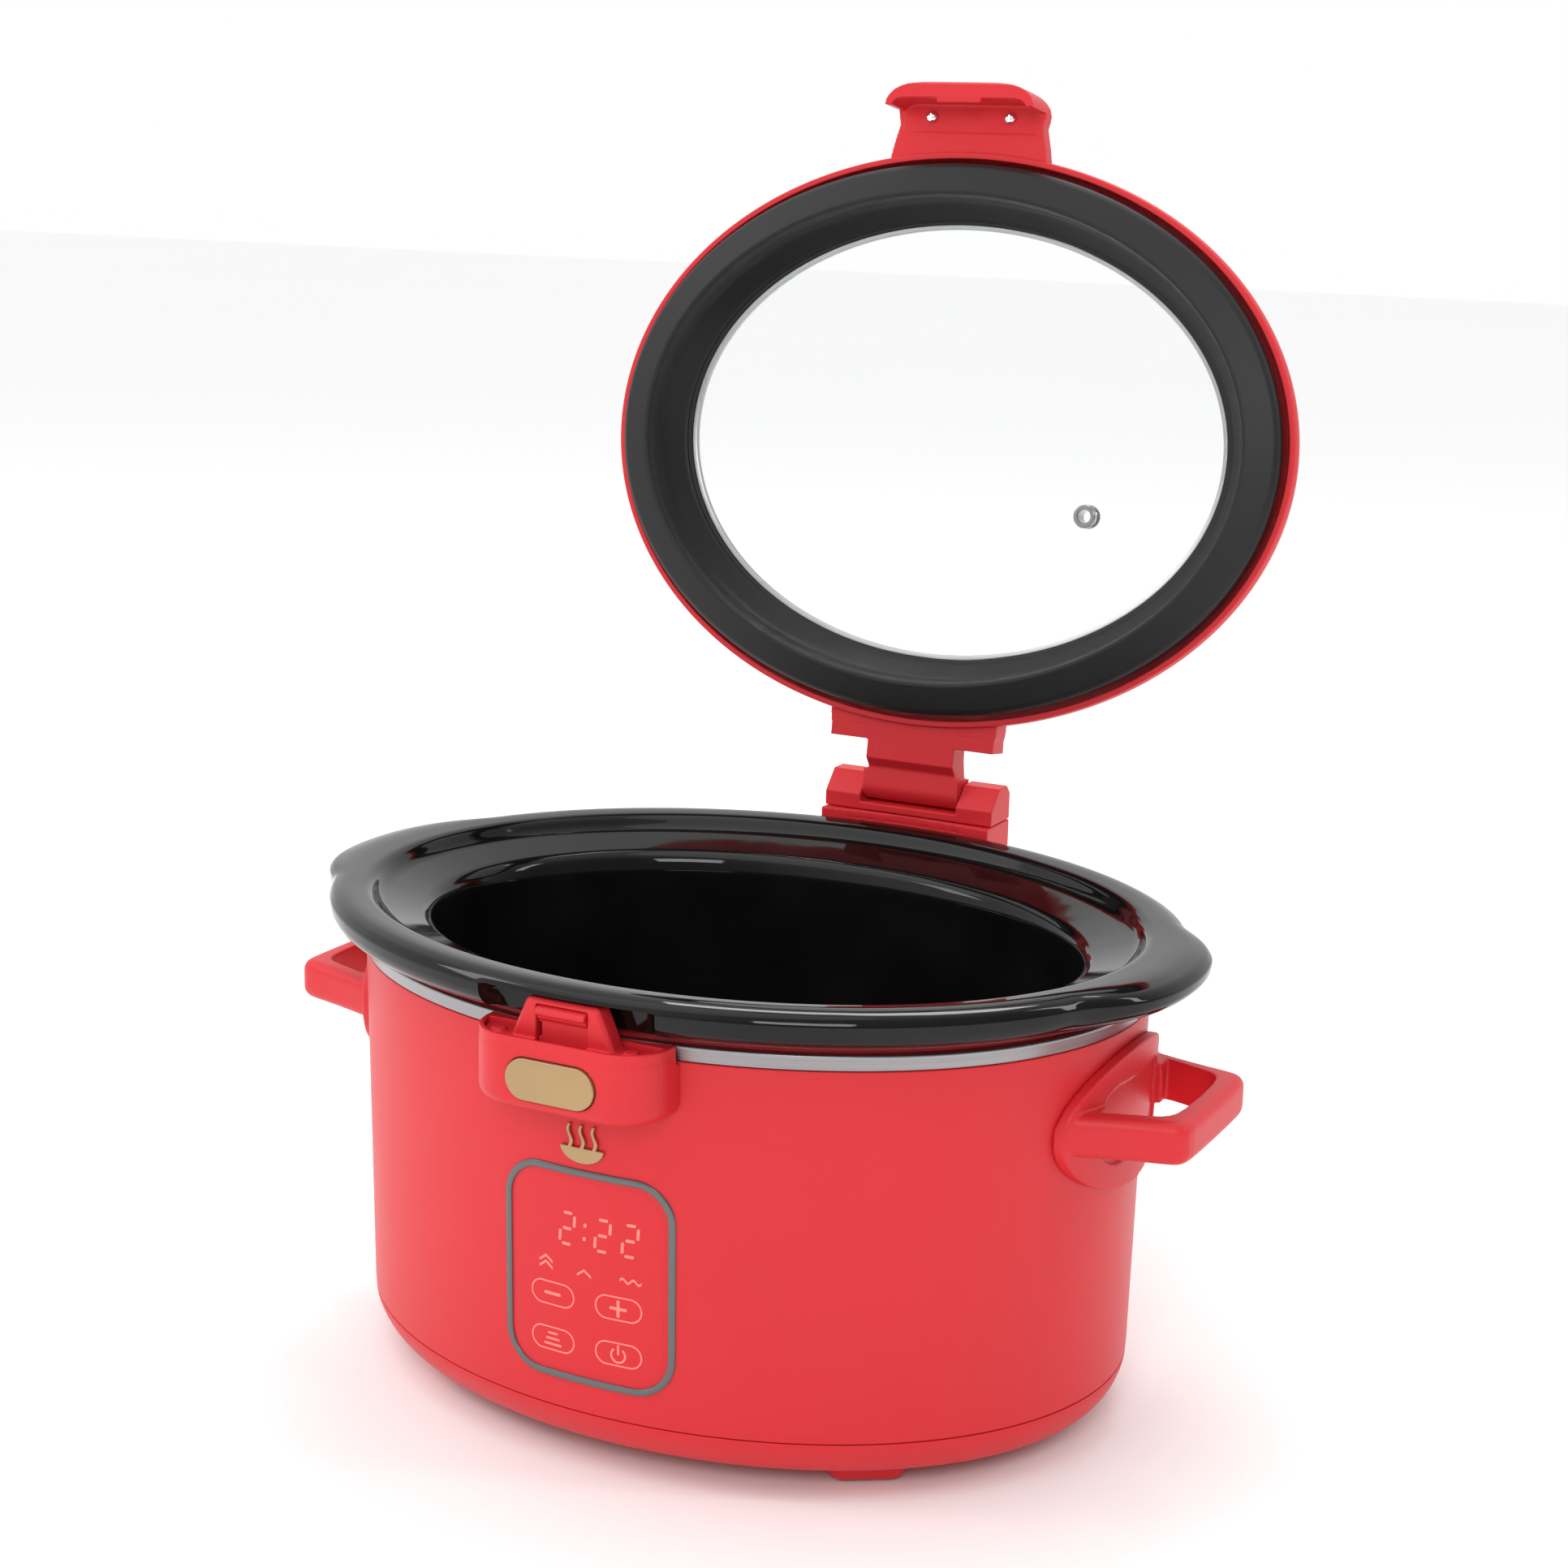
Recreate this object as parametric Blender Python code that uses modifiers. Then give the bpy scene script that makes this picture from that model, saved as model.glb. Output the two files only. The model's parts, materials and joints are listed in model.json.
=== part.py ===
"""Oval slow cooker with a hinged glass lid, shown with the lid standing open.

The cooker is modelled about the centre of its oval, front towards -Y, and the
whole assembly is shifted at the end so that its box is centred on the origin.
"""
import math

import bmesh
import bpy
from mathutils import Matrix, Vector

MM = 0.001
OVAL_SEGMENTS = 64
ASSEMBLY_SHIFT_Y = -28.1
GAP = 0.3

# Red outer wall: half width and half depth at its lower and upper edge.
WALL_LOW_Z = 26.9
WALL_TOP_Z = 183.6
WALL_LOW = (174.3, 137.0)
WALL_TOP = (176.6, 139.7)
WALL_THICKNESS = 1.5
HOUSING_TOP_Z = 195.0

# Lid hinge, given for the closed lid.
HINGE_Y = 166.8
HINGE_Z = 225.6
HINGE_OPEN_DEG = 99.0
KNUCKLE_RADIUS = 7.0
PIN_RADIUS = 2.5
EAR_INNER_X = 25.3
EAR_OUTER_X = 44.0

# Front latch.
PAWL_PIVOT_Y = -152.0
PAWL_PIVOT_Z = 168.0
BUTTON_Z = 175.0
LATCH_TOP_Z = 191.0

# Side handles.
HANDLE_Z = 147.0
HANDLE_REACH_X = 215.4
HANDLE_RISE = 0.5
HANDLE_LOW_Z = 140.0
HANDLE_HEIGHT = 18.0

# Control panel.
PANEL_X = 1.5
PANEL_Z = 85.8
PANEL_WIDTH = 78.6
PANEL_HEIGHT = 92.3
PANEL_RADIUS = 17.5
BEZEL_WIDTH = 3.0

# Vent in the glass and cord inlet at the back.
VENT_X = 70.0
VENT_Y = 29.0
INLET_Z = 45.0

# Feet: centre of each, and its turn so that it follows the oval.
FEET_X = 98.0
FEET_Y = 76.5
FEET_TURN_DEG = 33.0

# Fixing screws: (x, z) on the front and back walls, y at each handle.
FIXING_POINTS_FRONT = ((-33.0, 172.0), (33.0, 172.0))
FIXING_POINTS_REAR = ((-32.0, 168.0), (32.0, 168.0))
HANDLE_SCREW_Y = (-38.5, 38.5)
LID_SCREW_X = 20.0
LID_SCREW_Y = -151.5
YOKE_SCREW_X = 36.0
YOKE_SCREW_Y = 170.6

# Heated well: half-lengths of its oval and the height, at the floor and at the lip.
WELL_LOW = (144.2, 110.7, 44.0)
WELL_HIGH = (162.4, 125.4, 191.6)

# Lifting tabs at the ends of the pot.
TAB_HALF_WIDTH = 62.0

# Latch and lid sizes.
PEG_X = 30.0
PAWL_HALF_WIDTH = 11.0
BUTTON_WIDTH = 40.0
BUTTON_HEIGHT = 17.0
BUTTON_FACE_Y = -164.2
PANE_HALF_LENGTH = 146.8
PANE_HALF_DEPTH = 110.1

LID_PREFIXES = ("lid_frame", "lid_seal", "lid_glass", "lid_screw", "vent_grommet")
LID_CUTTERS = (
    "cut_lid_middle", "lid_arm", "keep_arm_side", "lid_grip", "keep_grip_side", "cut_hood",
    "add_catch_ledge", "cut_knuckle_bore", "cut_grip_screws", "cut_vent_hole",
)

RED_SATIN = ("red_satin", (0.70, 0.034, 0.042), 0.0, 0.42)
BLACK_GLAZE = ("black_glaze", (0.006, 0.006, 0.006), 0.0, 0.07)
BLACK_RUBBER = ("black_rubber", (0.018, 0.018, 0.018), 0.0, 0.55)
BRUSHED = ("brushed_steel", (0.56, 0.56, 0.57), 1.0, 0.33)
BARE_ALUMINIUM = ("aluminium", (0.72, 0.72, 0.73), 1.0, 0.4)
CHROME = ("chrome", (0.82, 0.82, 0.83), 1.0, 0.12)
SATIN_GOLD = ("satin_gold", (0.62, 0.42, 0.22), 1.0, 0.36)
GUNMETAL = ("gunmetal", (0.15, 0.15, 0.16), 0.7, 0.25)
CLEAR_GLASS = ("clear_glass", (0.95, 0.97, 0.97), 0.0, 0.03)
BOARD_GREEN = ("board_green", (0.02, 0.12, 0.05), 0.0, 0.5)
GLASS_WOOL = ("glass_wool", (0.62, 0.58, 0.46), 0.0, 0.95)
MICA = ("mica", (0.38, 0.33, 0.26), 0.2, 0.5)


def collection(name):
    made = bpy.data.collections.new(name)
    bpy.context.scene.collection.children.link(made)
    return made


def link_mesh(name, bm, target):
    """Turn a bmesh in millimetres into a linked object in metres."""
    bmesh.ops.recalc_face_normals(bm, faces=bm.faces[:])
    bmesh.ops.scale(bm, vec=(MM, MM, MM), verts=bm.verts[:])
    mesh = bpy.data.meshes.new(name)
    bm.to_mesh(mesh)
    bm.free()
    obj = bpy.data.objects.new(name, mesh)
    target.objects.link(obj)
    return obj


def add_part(name, bm, look):
    obj = link_mesh(name, bm, PARTS)
    label, colour, metallic, roughness = look
    mat = bpy.data.materials.new(f"{name}_{label}")
    mat.use_nodes = True
    shader = mat.node_tree.nodes["Principled BSDF"]
    shader.inputs["Base Color"].default_value = (*colour, 1.0)
    shader.inputs["Metallic"].default_value = metallic
    shader.inputs["Roughness"].default_value = roughness
    if label == "clear_glass":
        shader.inputs["Transmission Weight"].default_value = 1.0
    obj.data.materials.append(mat)
    return obj


def add_cutter(name, bm):
    obj = link_mesh(name, bm, CUTTERS)
    obj.hide_render = True
    obj.display_type = "WIRE"
    return obj


def boolean(obj, cutter, operation="DIFFERENCE"):
    mod = obj.modifiers.new(f"{operation.lower()}_{cutter.name}", "BOOLEAN")
    mod.operation = operation
    mod.solver = "EXACT"
    mod.object = cutter


def bevel(obj, width, segments=2, angle=40.0):
    mod = obj.modifiers.new("edge_rounding", "BEVEL")
    mod.width = width * MM
    mod.segments = segments
    mod.limit_method = "ANGLE"
    mod.angle_limit = math.radians(angle)


# ---- shapes ----------------------------------------------------------------

def tab_bulge(y, amount):
    """Extra reach of a lifting tab at distance y from the pot's middle."""
    share = abs(y) / TAB_HALF_WIDTH
    if share >= 1.0:
        return 0.0
    return amount * (1.0 - share ** 5) ** 2


def oval_ring(bm, section, segments, centre):
    """One oval of vertices; a fourth value in the section adds end tabs."""
    a, b, z = section[:3]
    bulge = section[3] if len(section) > 3 else 0.0
    ring = []
    for i in range(segments):
        angle = 2.0 * math.pi * i / segments
        x = a * math.cos(angle)
        y = b * math.sin(angle)
        x += math.copysign(tab_bulge(y, bulge), x)
        ring.append(bm.verts.new((centre[0] + x, centre[1] + y, z)))
    return ring


def bridge(bm, lower, upper):
    count = len(lower)
    for i in range(count):
        j = (i + 1) % count
        bm.faces.new((lower[i], lower[j], upper[j], upper[i]))


def oval_loop(sections, segments=OVAL_SEGMENTS, centre=(0.0, 0.0)):
    """Closed band: the sections run once round its wall."""
    bm = bmesh.new()
    rings = [oval_ring(bm, s, segments, centre) for s in sections]
    for i, ring in enumerate(rings):
        bridge(bm, ring, rings[(i + 1) % len(rings)])
    return bm


def oval_stack(sections, segments=OVAL_SEGMENTS, centre=(0.0, 0.0)):
    """Solid or vessel: the sections run from one end cap to the other."""
    bm = bmesh.new()
    rings = [oval_ring(bm, s, segments, centre) for s in sections]
    for lower, upper in zip(rings, rings[1:]):
        bridge(bm, lower, upper)
    bm.faces.new(rings[0])
    bm.faces.new(rings[-1])
    return bm


def spun(outline, closed, segments, centre):
    """Spin an outline of (radius, height) points about an upright axis."""
    bm = bmesh.new()
    verts = [bm.verts.new((r, 0.0, z)) for r, z in outline]
    edges = [bm.edges.new(pair) for pair in zip(verts, verts[1:])]
    if closed:
        edges.append(bm.edges.new((verts[-1], verts[0])))
    bmesh.ops.spin(bm, geom=verts + edges, cent=(0, 0, 0), axis=(0, 0, 1),
                   angle=2.0 * math.pi, steps=segments, use_merge=True)
    bmesh.ops.remove_doubles(bm, verts=bm.verts[:], dist=0.001)
    bmesh.ops.translate(bm, vec=(centre[0], centre[1], 0.0), verts=bm.verts[:])
    return bm


def turned(profile, segments=24, centre=(0.0, 0.0)):
    """Round solid whose ends close on its axis."""
    ends = [(0.0, profile[0][1])] + list(profile) + [(0.0, profile[-1][1])]
    return spun(ends, False, segments, centre)


def turned_loop(profile, segments=24, centre=(0.0, 0.0)):
    """Round ring with a hole through it."""
    return spun(profile, True, segments, centre)


def prism(outline, axis, start, end):
    """Extrude an outline along X, Y or Z between two positions."""
    bm = bmesh.new()
    verts = []
    for u, v in outline:
        place = {"X": (start, u, v), "Y": (u, start, v), "Z": (u, v, start)}[axis]
        verts.append(bm.verts.new(place))
    face = bm.faces.new(verts)
    grown = bmesh.ops.extrude_face_region(bm, geom=[face])
    moved = [g for g in grown["geom"] if isinstance(g, bmesh.types.BMVert)]
    step = {"X": (1, 0, 0), "Y": (0, 1, 0), "Z": (0, 0, 1)}[axis]
    bmesh.ops.translate(bm, vec=Vector(step) * (end - start), verts=moved)
    return bm


def box(low, high):
    bm = bmesh.new()
    bmesh.ops.create_cube(bm, size=1.0)
    size = [h - l for l, h in zip(low, high)]
    middle = [(h + l) / 2.0 for l, h in zip(low, high)]
    bmesh.ops.scale(bm, vec=size, verts=bm.verts[:])
    bmesh.ops.translate(bm, vec=middle, verts=bm.verts[:])
    return bm


def merge(target, extra):
    """Add the geometry of one bmesh to another."""
    mesh = bpy.data.meshes.new("merge")
    extra.to_mesh(mesh)
    extra.free()
    target.from_mesh(mesh)
    bpy.data.meshes.remove(mesh)
    return target


def turn_to(bm, axis, centre):
    """Lay a round solid built about Z along another axis, then move it."""
    if axis == "X":
        matrix = Matrix.Rotation(math.radians(90.0), 3, "Y")
    else:
        matrix = Matrix.Rotation(math.radians(-90.0), 3, "X")
    bmesh.ops.rotate(bm, cent=(0, 0, 0), matrix=matrix, verts=bm.verts[:])
    bmesh.ops.translate(bm, vec=centre, verts=bm.verts[:])
    return bm


def rod(axis, centre, radius, start, end, segments=20):
    """Cylinder along X or Y; start and end are measured from the centre."""
    return turn_to(turned([(radius, start), (radius, end)], segments), axis, centre)


def rounded_rectangle(cx, cy, width, height, radius, steps=6):
    points = []
    corners = ((1, 1, 0), (-1, 1, 90), (-1, -1, 180), (1, -1, 270))
    for sx, sy, base in corners:
        ox = cx + sx * (width / 2.0 - radius)
        oy = cy + sy * (height / 2.0 - radius)
        for i in range(steps + 1):
            angle = math.radians(base + 90.0 * i / steps)
            points.append((ox + radius * math.cos(angle), oy + radius * math.sin(angle)))
    return points


def ellipse_outline(cx, cy, rx, ry, steps=40):
    points = []
    for i in range(steps):
        angle = 2.0 * math.pi * i / steps
        points.append((cx + rx * math.cos(angle), cy + ry * math.sin(angle)))
    return points


def mirrored(half):
    """Complete an outline given for x > 0 from back to front."""
    return half + [(-x, y) for x, y in reversed(half)]


def wall(z, offset=0.0):
    """Section of the red outer wall at height z, moved out by offset."""
    share = (z - WALL_LOW_Z) / (WALL_TOP_Z - WALL_LOW_Z)
    a = WALL_LOW[0] + share * (WALL_TOP[0] - WALL_LOW[0]) + offset
    b = WALL_LOW[1] + share * (WALL_TOP[1] - WALL_LOW[1]) + offset
    return (a, b, z)


def wall_skin(z_low, z_high, inner, outer):
    """Band that follows the outer wall between two offsets."""
    return oval_loop([wall(z_low, inner), wall(z_low, outer),
                      wall(z_high, outer), wall(z_high, inner)])


def body_clearance():
    """Column that trims the latch and the hinge bracket clear of the body."""
    sections = [
        wall(100.0, GAP),
        wall(WALL_TOP_Z - 0.6, GAP),
        (179.2, 142.4, WALL_TOP_Z - 0.6),
        (179.2, 142.4, 191.6),
        (184.0, 147.6, 192.8),
        (190.0, 153.6, 195.0),
        (194.6, 158.4, 200.0),
        (194.6, 158.4, 260.0),
    ]
    return oval_stack(sections)


# ---- cooker body -----------------------------------------------------------

def outer_housing():
    inner = -WALL_THICKNESS
    sections = [
        wall(WALL_LOW_Z),
        wall(WALL_TOP_Z, -0.2),
        (174.9, 137.9, WALL_TOP_Z),
        (174.9, 137.9, HOUSING_TOP_Z - 0.8),
        (174.2, 137.2, HOUSING_TOP_Z),
        (163.9, 126.7, HOUSING_TOP_Z),
        (163.9, 126.7, HOUSING_TOP_Z - WALL_THICKNESS),
        (173.3, 136.3, HOUSING_TOP_Z - WALL_THICKNESS),
        (173.3, 136.3, WALL_TOP_Z - 1.5),
        wall(WALL_TOP_Z - 3.5, inner),
        wall(WALL_LOW_Z, inner),
    ]
    obj = add_part("outer_housing", oval_loop(sections), RED_SATIN)
    opening = rounded_rectangle(PANEL_X, PANEL_Z, PANEL_WIDTH + 2 * GAP,
                                PANEL_HEIGHT + 2 * GAP, PANEL_RADIUS + GAP)
    boolean(obj, add_cutter("cut_panel_opening", prism(opening, "Y", -150.0, -120.0)))
    holes = rod("Y", (0.0, 137.0, INLET_Z), 6.3, -8.0, 8.0, 24)
    for x, z in FIXING_POINTS_FRONT:
        merge(holes, rod("Y", (x, -137.0, z), 2.2, -12.0, 12.0, 12))
    for x, z in FIXING_POINTS_REAR:
        merge(holes, rod("Y", (x, 137.0, z), 2.2, -12.0, 12.0, 12))
    for side in (1.0, -1.0):
        for y in HANDLE_SCREW_Y:
            merge(holes, rod("X", (side * 175.0, y, HANDLE_Z), 2.2, -8.0, 8.0, 12))
    boolean(obj, add_cutter("cut_housing_holes", holes))
    return obj


def base_pan():
    sections = [
        (155.0, 114.5, 7.2),
        (160.9, 120.5, 7.9),
        (167.0, 127.5, 11.2),
        (171.6, 133.0, 17.0),
        (174.0, 136.3, 23.5),
        (174.3, 136.8, WALL_LOW_Z - 0.5),
        (172.4, 134.9, WALL_LOW_Z - 0.5),
        (172.4, 134.9, WALL_LOW_Z + 5.0),
        (170.6, 133.1, WALL_LOW_Z + 5.0),
        (170.4, 132.6, 21.0),
        (165.0, 126.0, 13.6),
        (158.0, 118.0, 9.8),
    ]
    obj = add_part("base_pan", oval_stack(sections), RED_SATIN)
    slots = box((-44.0, -62.0, 0.0), (-40.0, -30.0, 20.0))
    for index in range(1, 12):
        x = -42.0 + index * 9.0
        merge(slots, box((x - 2.0, -62.0, 0.0), (x + 2.0, -30.0, 20.0)))
    boolean(obj, add_cutter("cut_vent_slots", slots))
    sockets = turned([(4.3, 0.0), (4.3, 20.0)], 16, (FEET_X, FEET_Y))
    for sx, sy in ((-1, 1), (-1, -1), (1, -1)):
        merge(sockets, turned([(4.3, 0.0), (4.3, 20.0)], 16, (sx * FEET_X, sy * FEET_Y)))
    boolean(obj, add_cutter("cut_foot_sockets", sockets))
    return obj


def foot(name, sx, sy):
    """Tapered foot with a stud that presses into the base pan."""
    bm = bmesh.new()
    turn = math.radians(-FEET_TURN_DEG * sx * sy)
    levels = ((28.0, 21.0, 5.0, 0.8), (32.0, 25.0, 7.0, 2.2), (34.5, 27.5, 8.0, 6.9))
    rings = []
    for width, depth, radius, z in levels:
        ring = []
        for x, y in rounded_rectangle(0.0, 0.0, width, depth, radius, 4):
            across = x * math.cos(turn) - y * math.sin(turn)
            along = x * math.sin(turn) + y * math.cos(turn)
            ring.append(bm.verts.new((sx * FEET_X + across, sy * FEET_Y + along, z)))
        rings.append(ring)
    for lower, upper in zip(rings, rings[1:]):
        bridge(bm, lower, upper)
    bm.faces.new(rings[0])
    bm.faces.new(rings[-1])
    obj = add_part(name, bm, RED_SATIN)
    centre = (sx * FEET_X, sy * FEET_Y)
    stud = turned([(4.0, 5.5), (4.0, 11.0), (3.2, 12.4)], 16, centre)
    boolean(obj, add_cutter(f"stud_{name}", stud), "UNION")
    pocket = turned([(8.3, -1.0), (8.3, 2.8)], 20, centre)
    boolean(obj, add_cutter(f"cut_pad_{name}", pocket))
    pad = turned([(7.4, 0.0), (8.0, 0.5), (8.0, 2.5)], 20, centre)
    add_part(name.replace("foot", "foot_pad"), pad, BLACK_RUBBER)


def metal_rim_band():
    sections = [
        (175.2, 138.2, 183.9),
        (176.6, 139.7, 183.9),
        (177.6, 140.8, 187.4),
        (178.7, 141.9, 190.2),
        (178.2, 141.4, 190.8),
        (175.2, 138.2, 190.8),
    ]
    return add_part("metal_rim_band", oval_loop(sections), BRUSHED)


def well(z, offset=0.0):
    """Outer section of the heating well at height z, moved out by offset."""
    share = (z - WELL_LOW[2]) / (WELL_HIGH[2] - WELL_LOW[2])
    a = WELL_LOW[0] + share * (WELL_HIGH[0] - WELL_LOW[0]) + offset
    b = WELL_LOW[1] + share * (WELL_HIGH[1] - WELL_LOW[1]) + offset
    return (a, b, z)


def heating_well():
    sections = [
        (126.0, 93.0, 26.3),
        (135.5, 102.5, 30.0),
        (141.5, 108.2, 36.0),
        well(44.0),
        well(191.6),
        (170.0, 133.0, 191.6),
        (170.0, 133.0, 192.9),
        (161.3, 124.3, 192.9),
        well(44.0, -1.2),
        (140.2, 106.9, 36.6),
        (134.8, 101.7, 31.2),
        (125.6, 92.6, 27.6),
    ]
    return add_part("heating_well", oval_stack(sections), BARE_ALUMINIUM)


def band_heater():
    sections = [well(62.0, 0.4), well(62.0, 2.9), well(116.0, 2.9), well(116.0, 0.4)]
    return add_part("band_heater", oval_loop(sections), MICA)


def insulation_wrap():
    sections = [well(52.0, 3.3), well(52.0, 7.3), well(140.0, 7.3), well(140.0, 3.3)]
    return add_part("insulation_wrap", oval_loop(sections), GLASS_WOOL)


def heat_shield():
    sections = [(118.0, 86.0, 24.4), (119.0, 87.0, 25.2)]
    obj = add_part("heat_shield", oval_stack(sections), BARE_ALUMINIUM)
    hole = turned([(8.7, 20.0), (8.7, 30.0)], 20, (86.0, 0.0))
    boolean(obj, add_cutter("cut_thermostat_hole", hole))
    return obj


def thermostat():
    """Temperature sensor pressed against the floor of the well."""
    profile = [(5.0, 14.0), (5.0, 19.0), (8.2, 19.0), (8.2, 26.0)]
    return add_part("thermostat", turned(profile, 20, (86.0, 0.0)), BARE_ALUMINIUM)


def power_board():
    obj = add_part("power_board", box((-60.0, -26.0, 13.0), (40.0, 44.0, 14.6)), BOARD_GREEN)
    extras = (
        ("relay", (-50.0, 10.0, 14.4), (-32.0, 26.0, 23.6)),
        ("transformer", (-20.0, 4.0, 14.4), (6.0, 30.0, 23.8)),
        ("terminals", (18.0, -18.0, 14.4), (36.0, -6.0, 22.0)),
        ("post_left", (-56.0, -22.0, 10.1), (-50.0, -16.0, 13.2)),
        ("post_right", (30.0, 34.0, 10.1), (36.0, 40.0, 13.2)),
    )
    for label, low, high in extras:
        boolean(obj, add_cutter(f"add_{label}", box(low, high)), "UNION")
    return obj


def cord_inlet():
    """Grommet in the back wall; the supply cord itself is not modelled."""
    profile = [(3.6, -4.4), (8.6, -4.4), (8.6, -1.9), (6.0, -1.9),
               (6.0, 0.6), (9.2, 0.6), (8.2, 3.2), (3.6, 3.2)]
    bm = turn_to(turned_loop(profile, 24), "Y", (0.0, wall(INLET_Z)[1], INLET_Z))
    return add_part("cord_inlet", bm, BLACK_RUBBER)


# ---- control panel ---------------------------------------------------------

def panel_shape(inset):
    return rounded_rectangle(PANEL_X, PANEL_Z, PANEL_WIDTH - 2 * inset,
                             PANEL_HEIGHT - 2 * inset, PANEL_RADIUS - inset)


def panel_bezel():
    skin = wall_skin(30.0, 140.0, -2.6, 0.9)
    obj = add_part("panel_bezel", skin, GUNMETAL)
    boolean(obj, add_cutter("keep_bezel", prism(panel_shape(0.0), "Y", -150.0, -100.0)),
            "INTERSECT")
    boolean(obj, add_cutter("cut_bezel", prism(panel_shape(BEZEL_WIDTH), "Y", -152.0, -98.0)))
    return obj


def panel_face():
    skin = wall_skin(30.0, 140.0, -2.0, 0.0)
    obj = add_part("panel_face", skin, RED_SATIN)
    shape = panel_shape(BEZEL_WIDTH + GAP)
    boolean(obj, add_cutter("keep_face", prism(shape, "Y", -150.0, -100.0)), "INTERSECT")
    return obj


def display_board():
    """Display and touch sensing board behind the panel face."""
    obj = add_part("display_board", box((-28.0, -131.4, 48.0), (31.0, -129.8, 124.0)),
                   BOARD_GREEN)
    lamp = box((-13.0, -133.8, 96.0), (28.0, -131.2, 115.0))
    boolean(obj, add_cutter("add_digit_block", lamp), "UNION")
    return obj


def emblem():
    """Gold badge: a bowl with three wisps of steam."""
    centre_x = 0.5
    points = []
    for i in range(13):
        angle = math.radians(180.0 + 180.0 * i / 12)
        points.append((centre_x + 10.0 * math.cos(angle), 141.5 + 6.6 * math.sin(angle)))
    for wisp in (5.6, 0.0, -5.6):
        right = []
        left = []
        for i in range(9):
            z = 141.5 + 9.8 * i / 8
            middle = centre_x + wisp + 0.8 * math.sin(i * math.pi / 4.0)
            right.append((middle + 0.8, z))
            left.append((middle - 0.8, z))
        points += right + left[::-1]
    obj = add_part("emblem", wall_skin(125.0, 158.0, GAP, 1.5), SATIN_GOLD)
    boolean(obj, add_cutter("keep_emblem", prism(points, "Y", -150.0, -120.0)), "INTERSECT")
    return obj


# ---- latch -----------------------------------------------------------------

def latch_outline(inset):
    """Plan of the latch housing, open side at the back."""
    half = 42.0 - inset
    front = -163.0 + inset
    radius = 20.0 - inset
    points = [(half, -118.0 - inset)]
    for i in range(7):
        angle = math.radians(90.0 * i / 6)
        points.append((half - radius + radius * math.cos(angle),
                       front + radius - radius * math.sin(angle)))
    return mirrored(points)


def latch_housing():
    obj = add_part("latch_housing", prism(latch_outline(0.0), "Z", 161.0, LATCH_TOP_Z), RED_SATIN)
    bevel(obj, 2.6, 2, 50.0)
    boolean(obj, CLEARANCE)
    pocket = [(x, max(min(y, -144.5), -159.0)) for x, y in latch_outline(4.0)]
    boolean(obj, add_cutter("cut_latch_pocket", prism(pocket, "Z", 187.0, 196.0)))
    chamber = box((-24.5, -159.4, 163.6), (24.5, -145.0, 188.0))
    boolean(obj, add_cutter("cut_latch_chamber", chamber))
    slot = rounded_rectangle(0.0, BUTTON_Z, BUTTON_WIDTH + 2.0 * GAP,
                             BUTTON_HEIGHT + 2.0 * GAP, 8.79, 6)
    boolean(obj, add_cutter("cut_button_slot", prism(slot, "Y", -170.0, -157.0)))
    holes = rod("Y", (33.0, -137.0, 172.0), 1.8, -14.0, 10.0, 12)
    merge(holes, rod("Y", (-33.0, -137.0, 172.0), 1.8, -14.0, 10.0, 12))
    boolean(obj, add_cutter("cut_latch_screw_holes", holes))
    return obj


def latch_tower():
    """Top plate of the latch with its catch window, pegs and pawl lugs."""
    plate = [(x, max(min(y, -144.8), -158.7)) for x, y in latch_outline(4.3)]
    obj = add_part("latch_tower", prism(plate, "Z", 187.3, 189.0), RED_SATIN)
    tab = prism([(-24.0, 188.0), (24.0, 188.0), (16.6, 204.8), (15.0, 205.5),
                 (-15.0, 205.5), (-16.6, 204.8)], "Y", -155.0, -145.2)
    boolean(obj, add_cutter("add_tab", tab), "UNION")
    for side, label in ((1, "right"), (-1, "left")):
        peg = turned([(3.0, 188.0), (3.0, 190.2), (2.6, 190.6)], 16, (side * PEG_X, -152.0))
        boolean(obj, add_cutter(f"add_peg_{label}", peg), "UNION")
        near, far = sorted((side * 12.6, side * 16.0))
        lug = box((near, -155.4, 164.4), (far, -148.4, 188.0))
        boolean(obj, add_cutter(f"add_lug_{label}", lug), "UNION")
    window = box((-11.6, -160.0, 184.0), (11.6, -147.0, 203.6))
    boolean(obj, add_cutter("cut_window", window))
    bore = rod("X", (0.0, PAWL_PIVOT_Y, PAWL_PIVOT_Z), 1.5, -20.0, 20.0, 16)
    boolean(obj, add_cutter("cut_pawl_bore", bore))
    return obj


def latch_pawl():
    """Spring pawl; its origin sits on its pin."""
    profile = [
        (-153.4, 171.5), (-154.6, 170.0), (-154.6, 166.0), (-153.0, 165.2), (-150.6, 165.2),
        (-149.4, 166.4), (-149.4, 170.2), (-151.0, 172.5), (-151.0, 201.6), (-152.2, 202.8),
        (-154.4, 202.6), (-156.9, 200.8), (-156.9, 199.6), (-155.2, 199.4), (-155.1, 197.6),
        (-153.4, 196.4),
    ]
    bm = prism([(y - PAWL_PIVOT_Y, z - PAWL_PIVOT_Z) for y, z in profile], "X", -PAWL_HALF_WIDTH,
               PAWL_HALF_WIDTH)
    obj = add_part("latch_pawl", bm, RED_SATIN)
    obj.location = (0.0, PAWL_PIVOT_Y * MM, PAWL_PIVOT_Z * MM)
    bore = rod("X", (0.0, PAWL_PIVOT_Y, PAWL_PIVOT_Z), 1.5, -20.0, 20.0, 16)
    boolean(obj, add_cutter("cut_pawl_hole", bore))
    pin = rod("X", (0.0, PAWL_PIVOT_Y, PAWL_PIVOT_Z), 1.2, -17.5, 17.5, 16)
    add_part("pawl_pin", pin, CHROME)
    return obj


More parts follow.
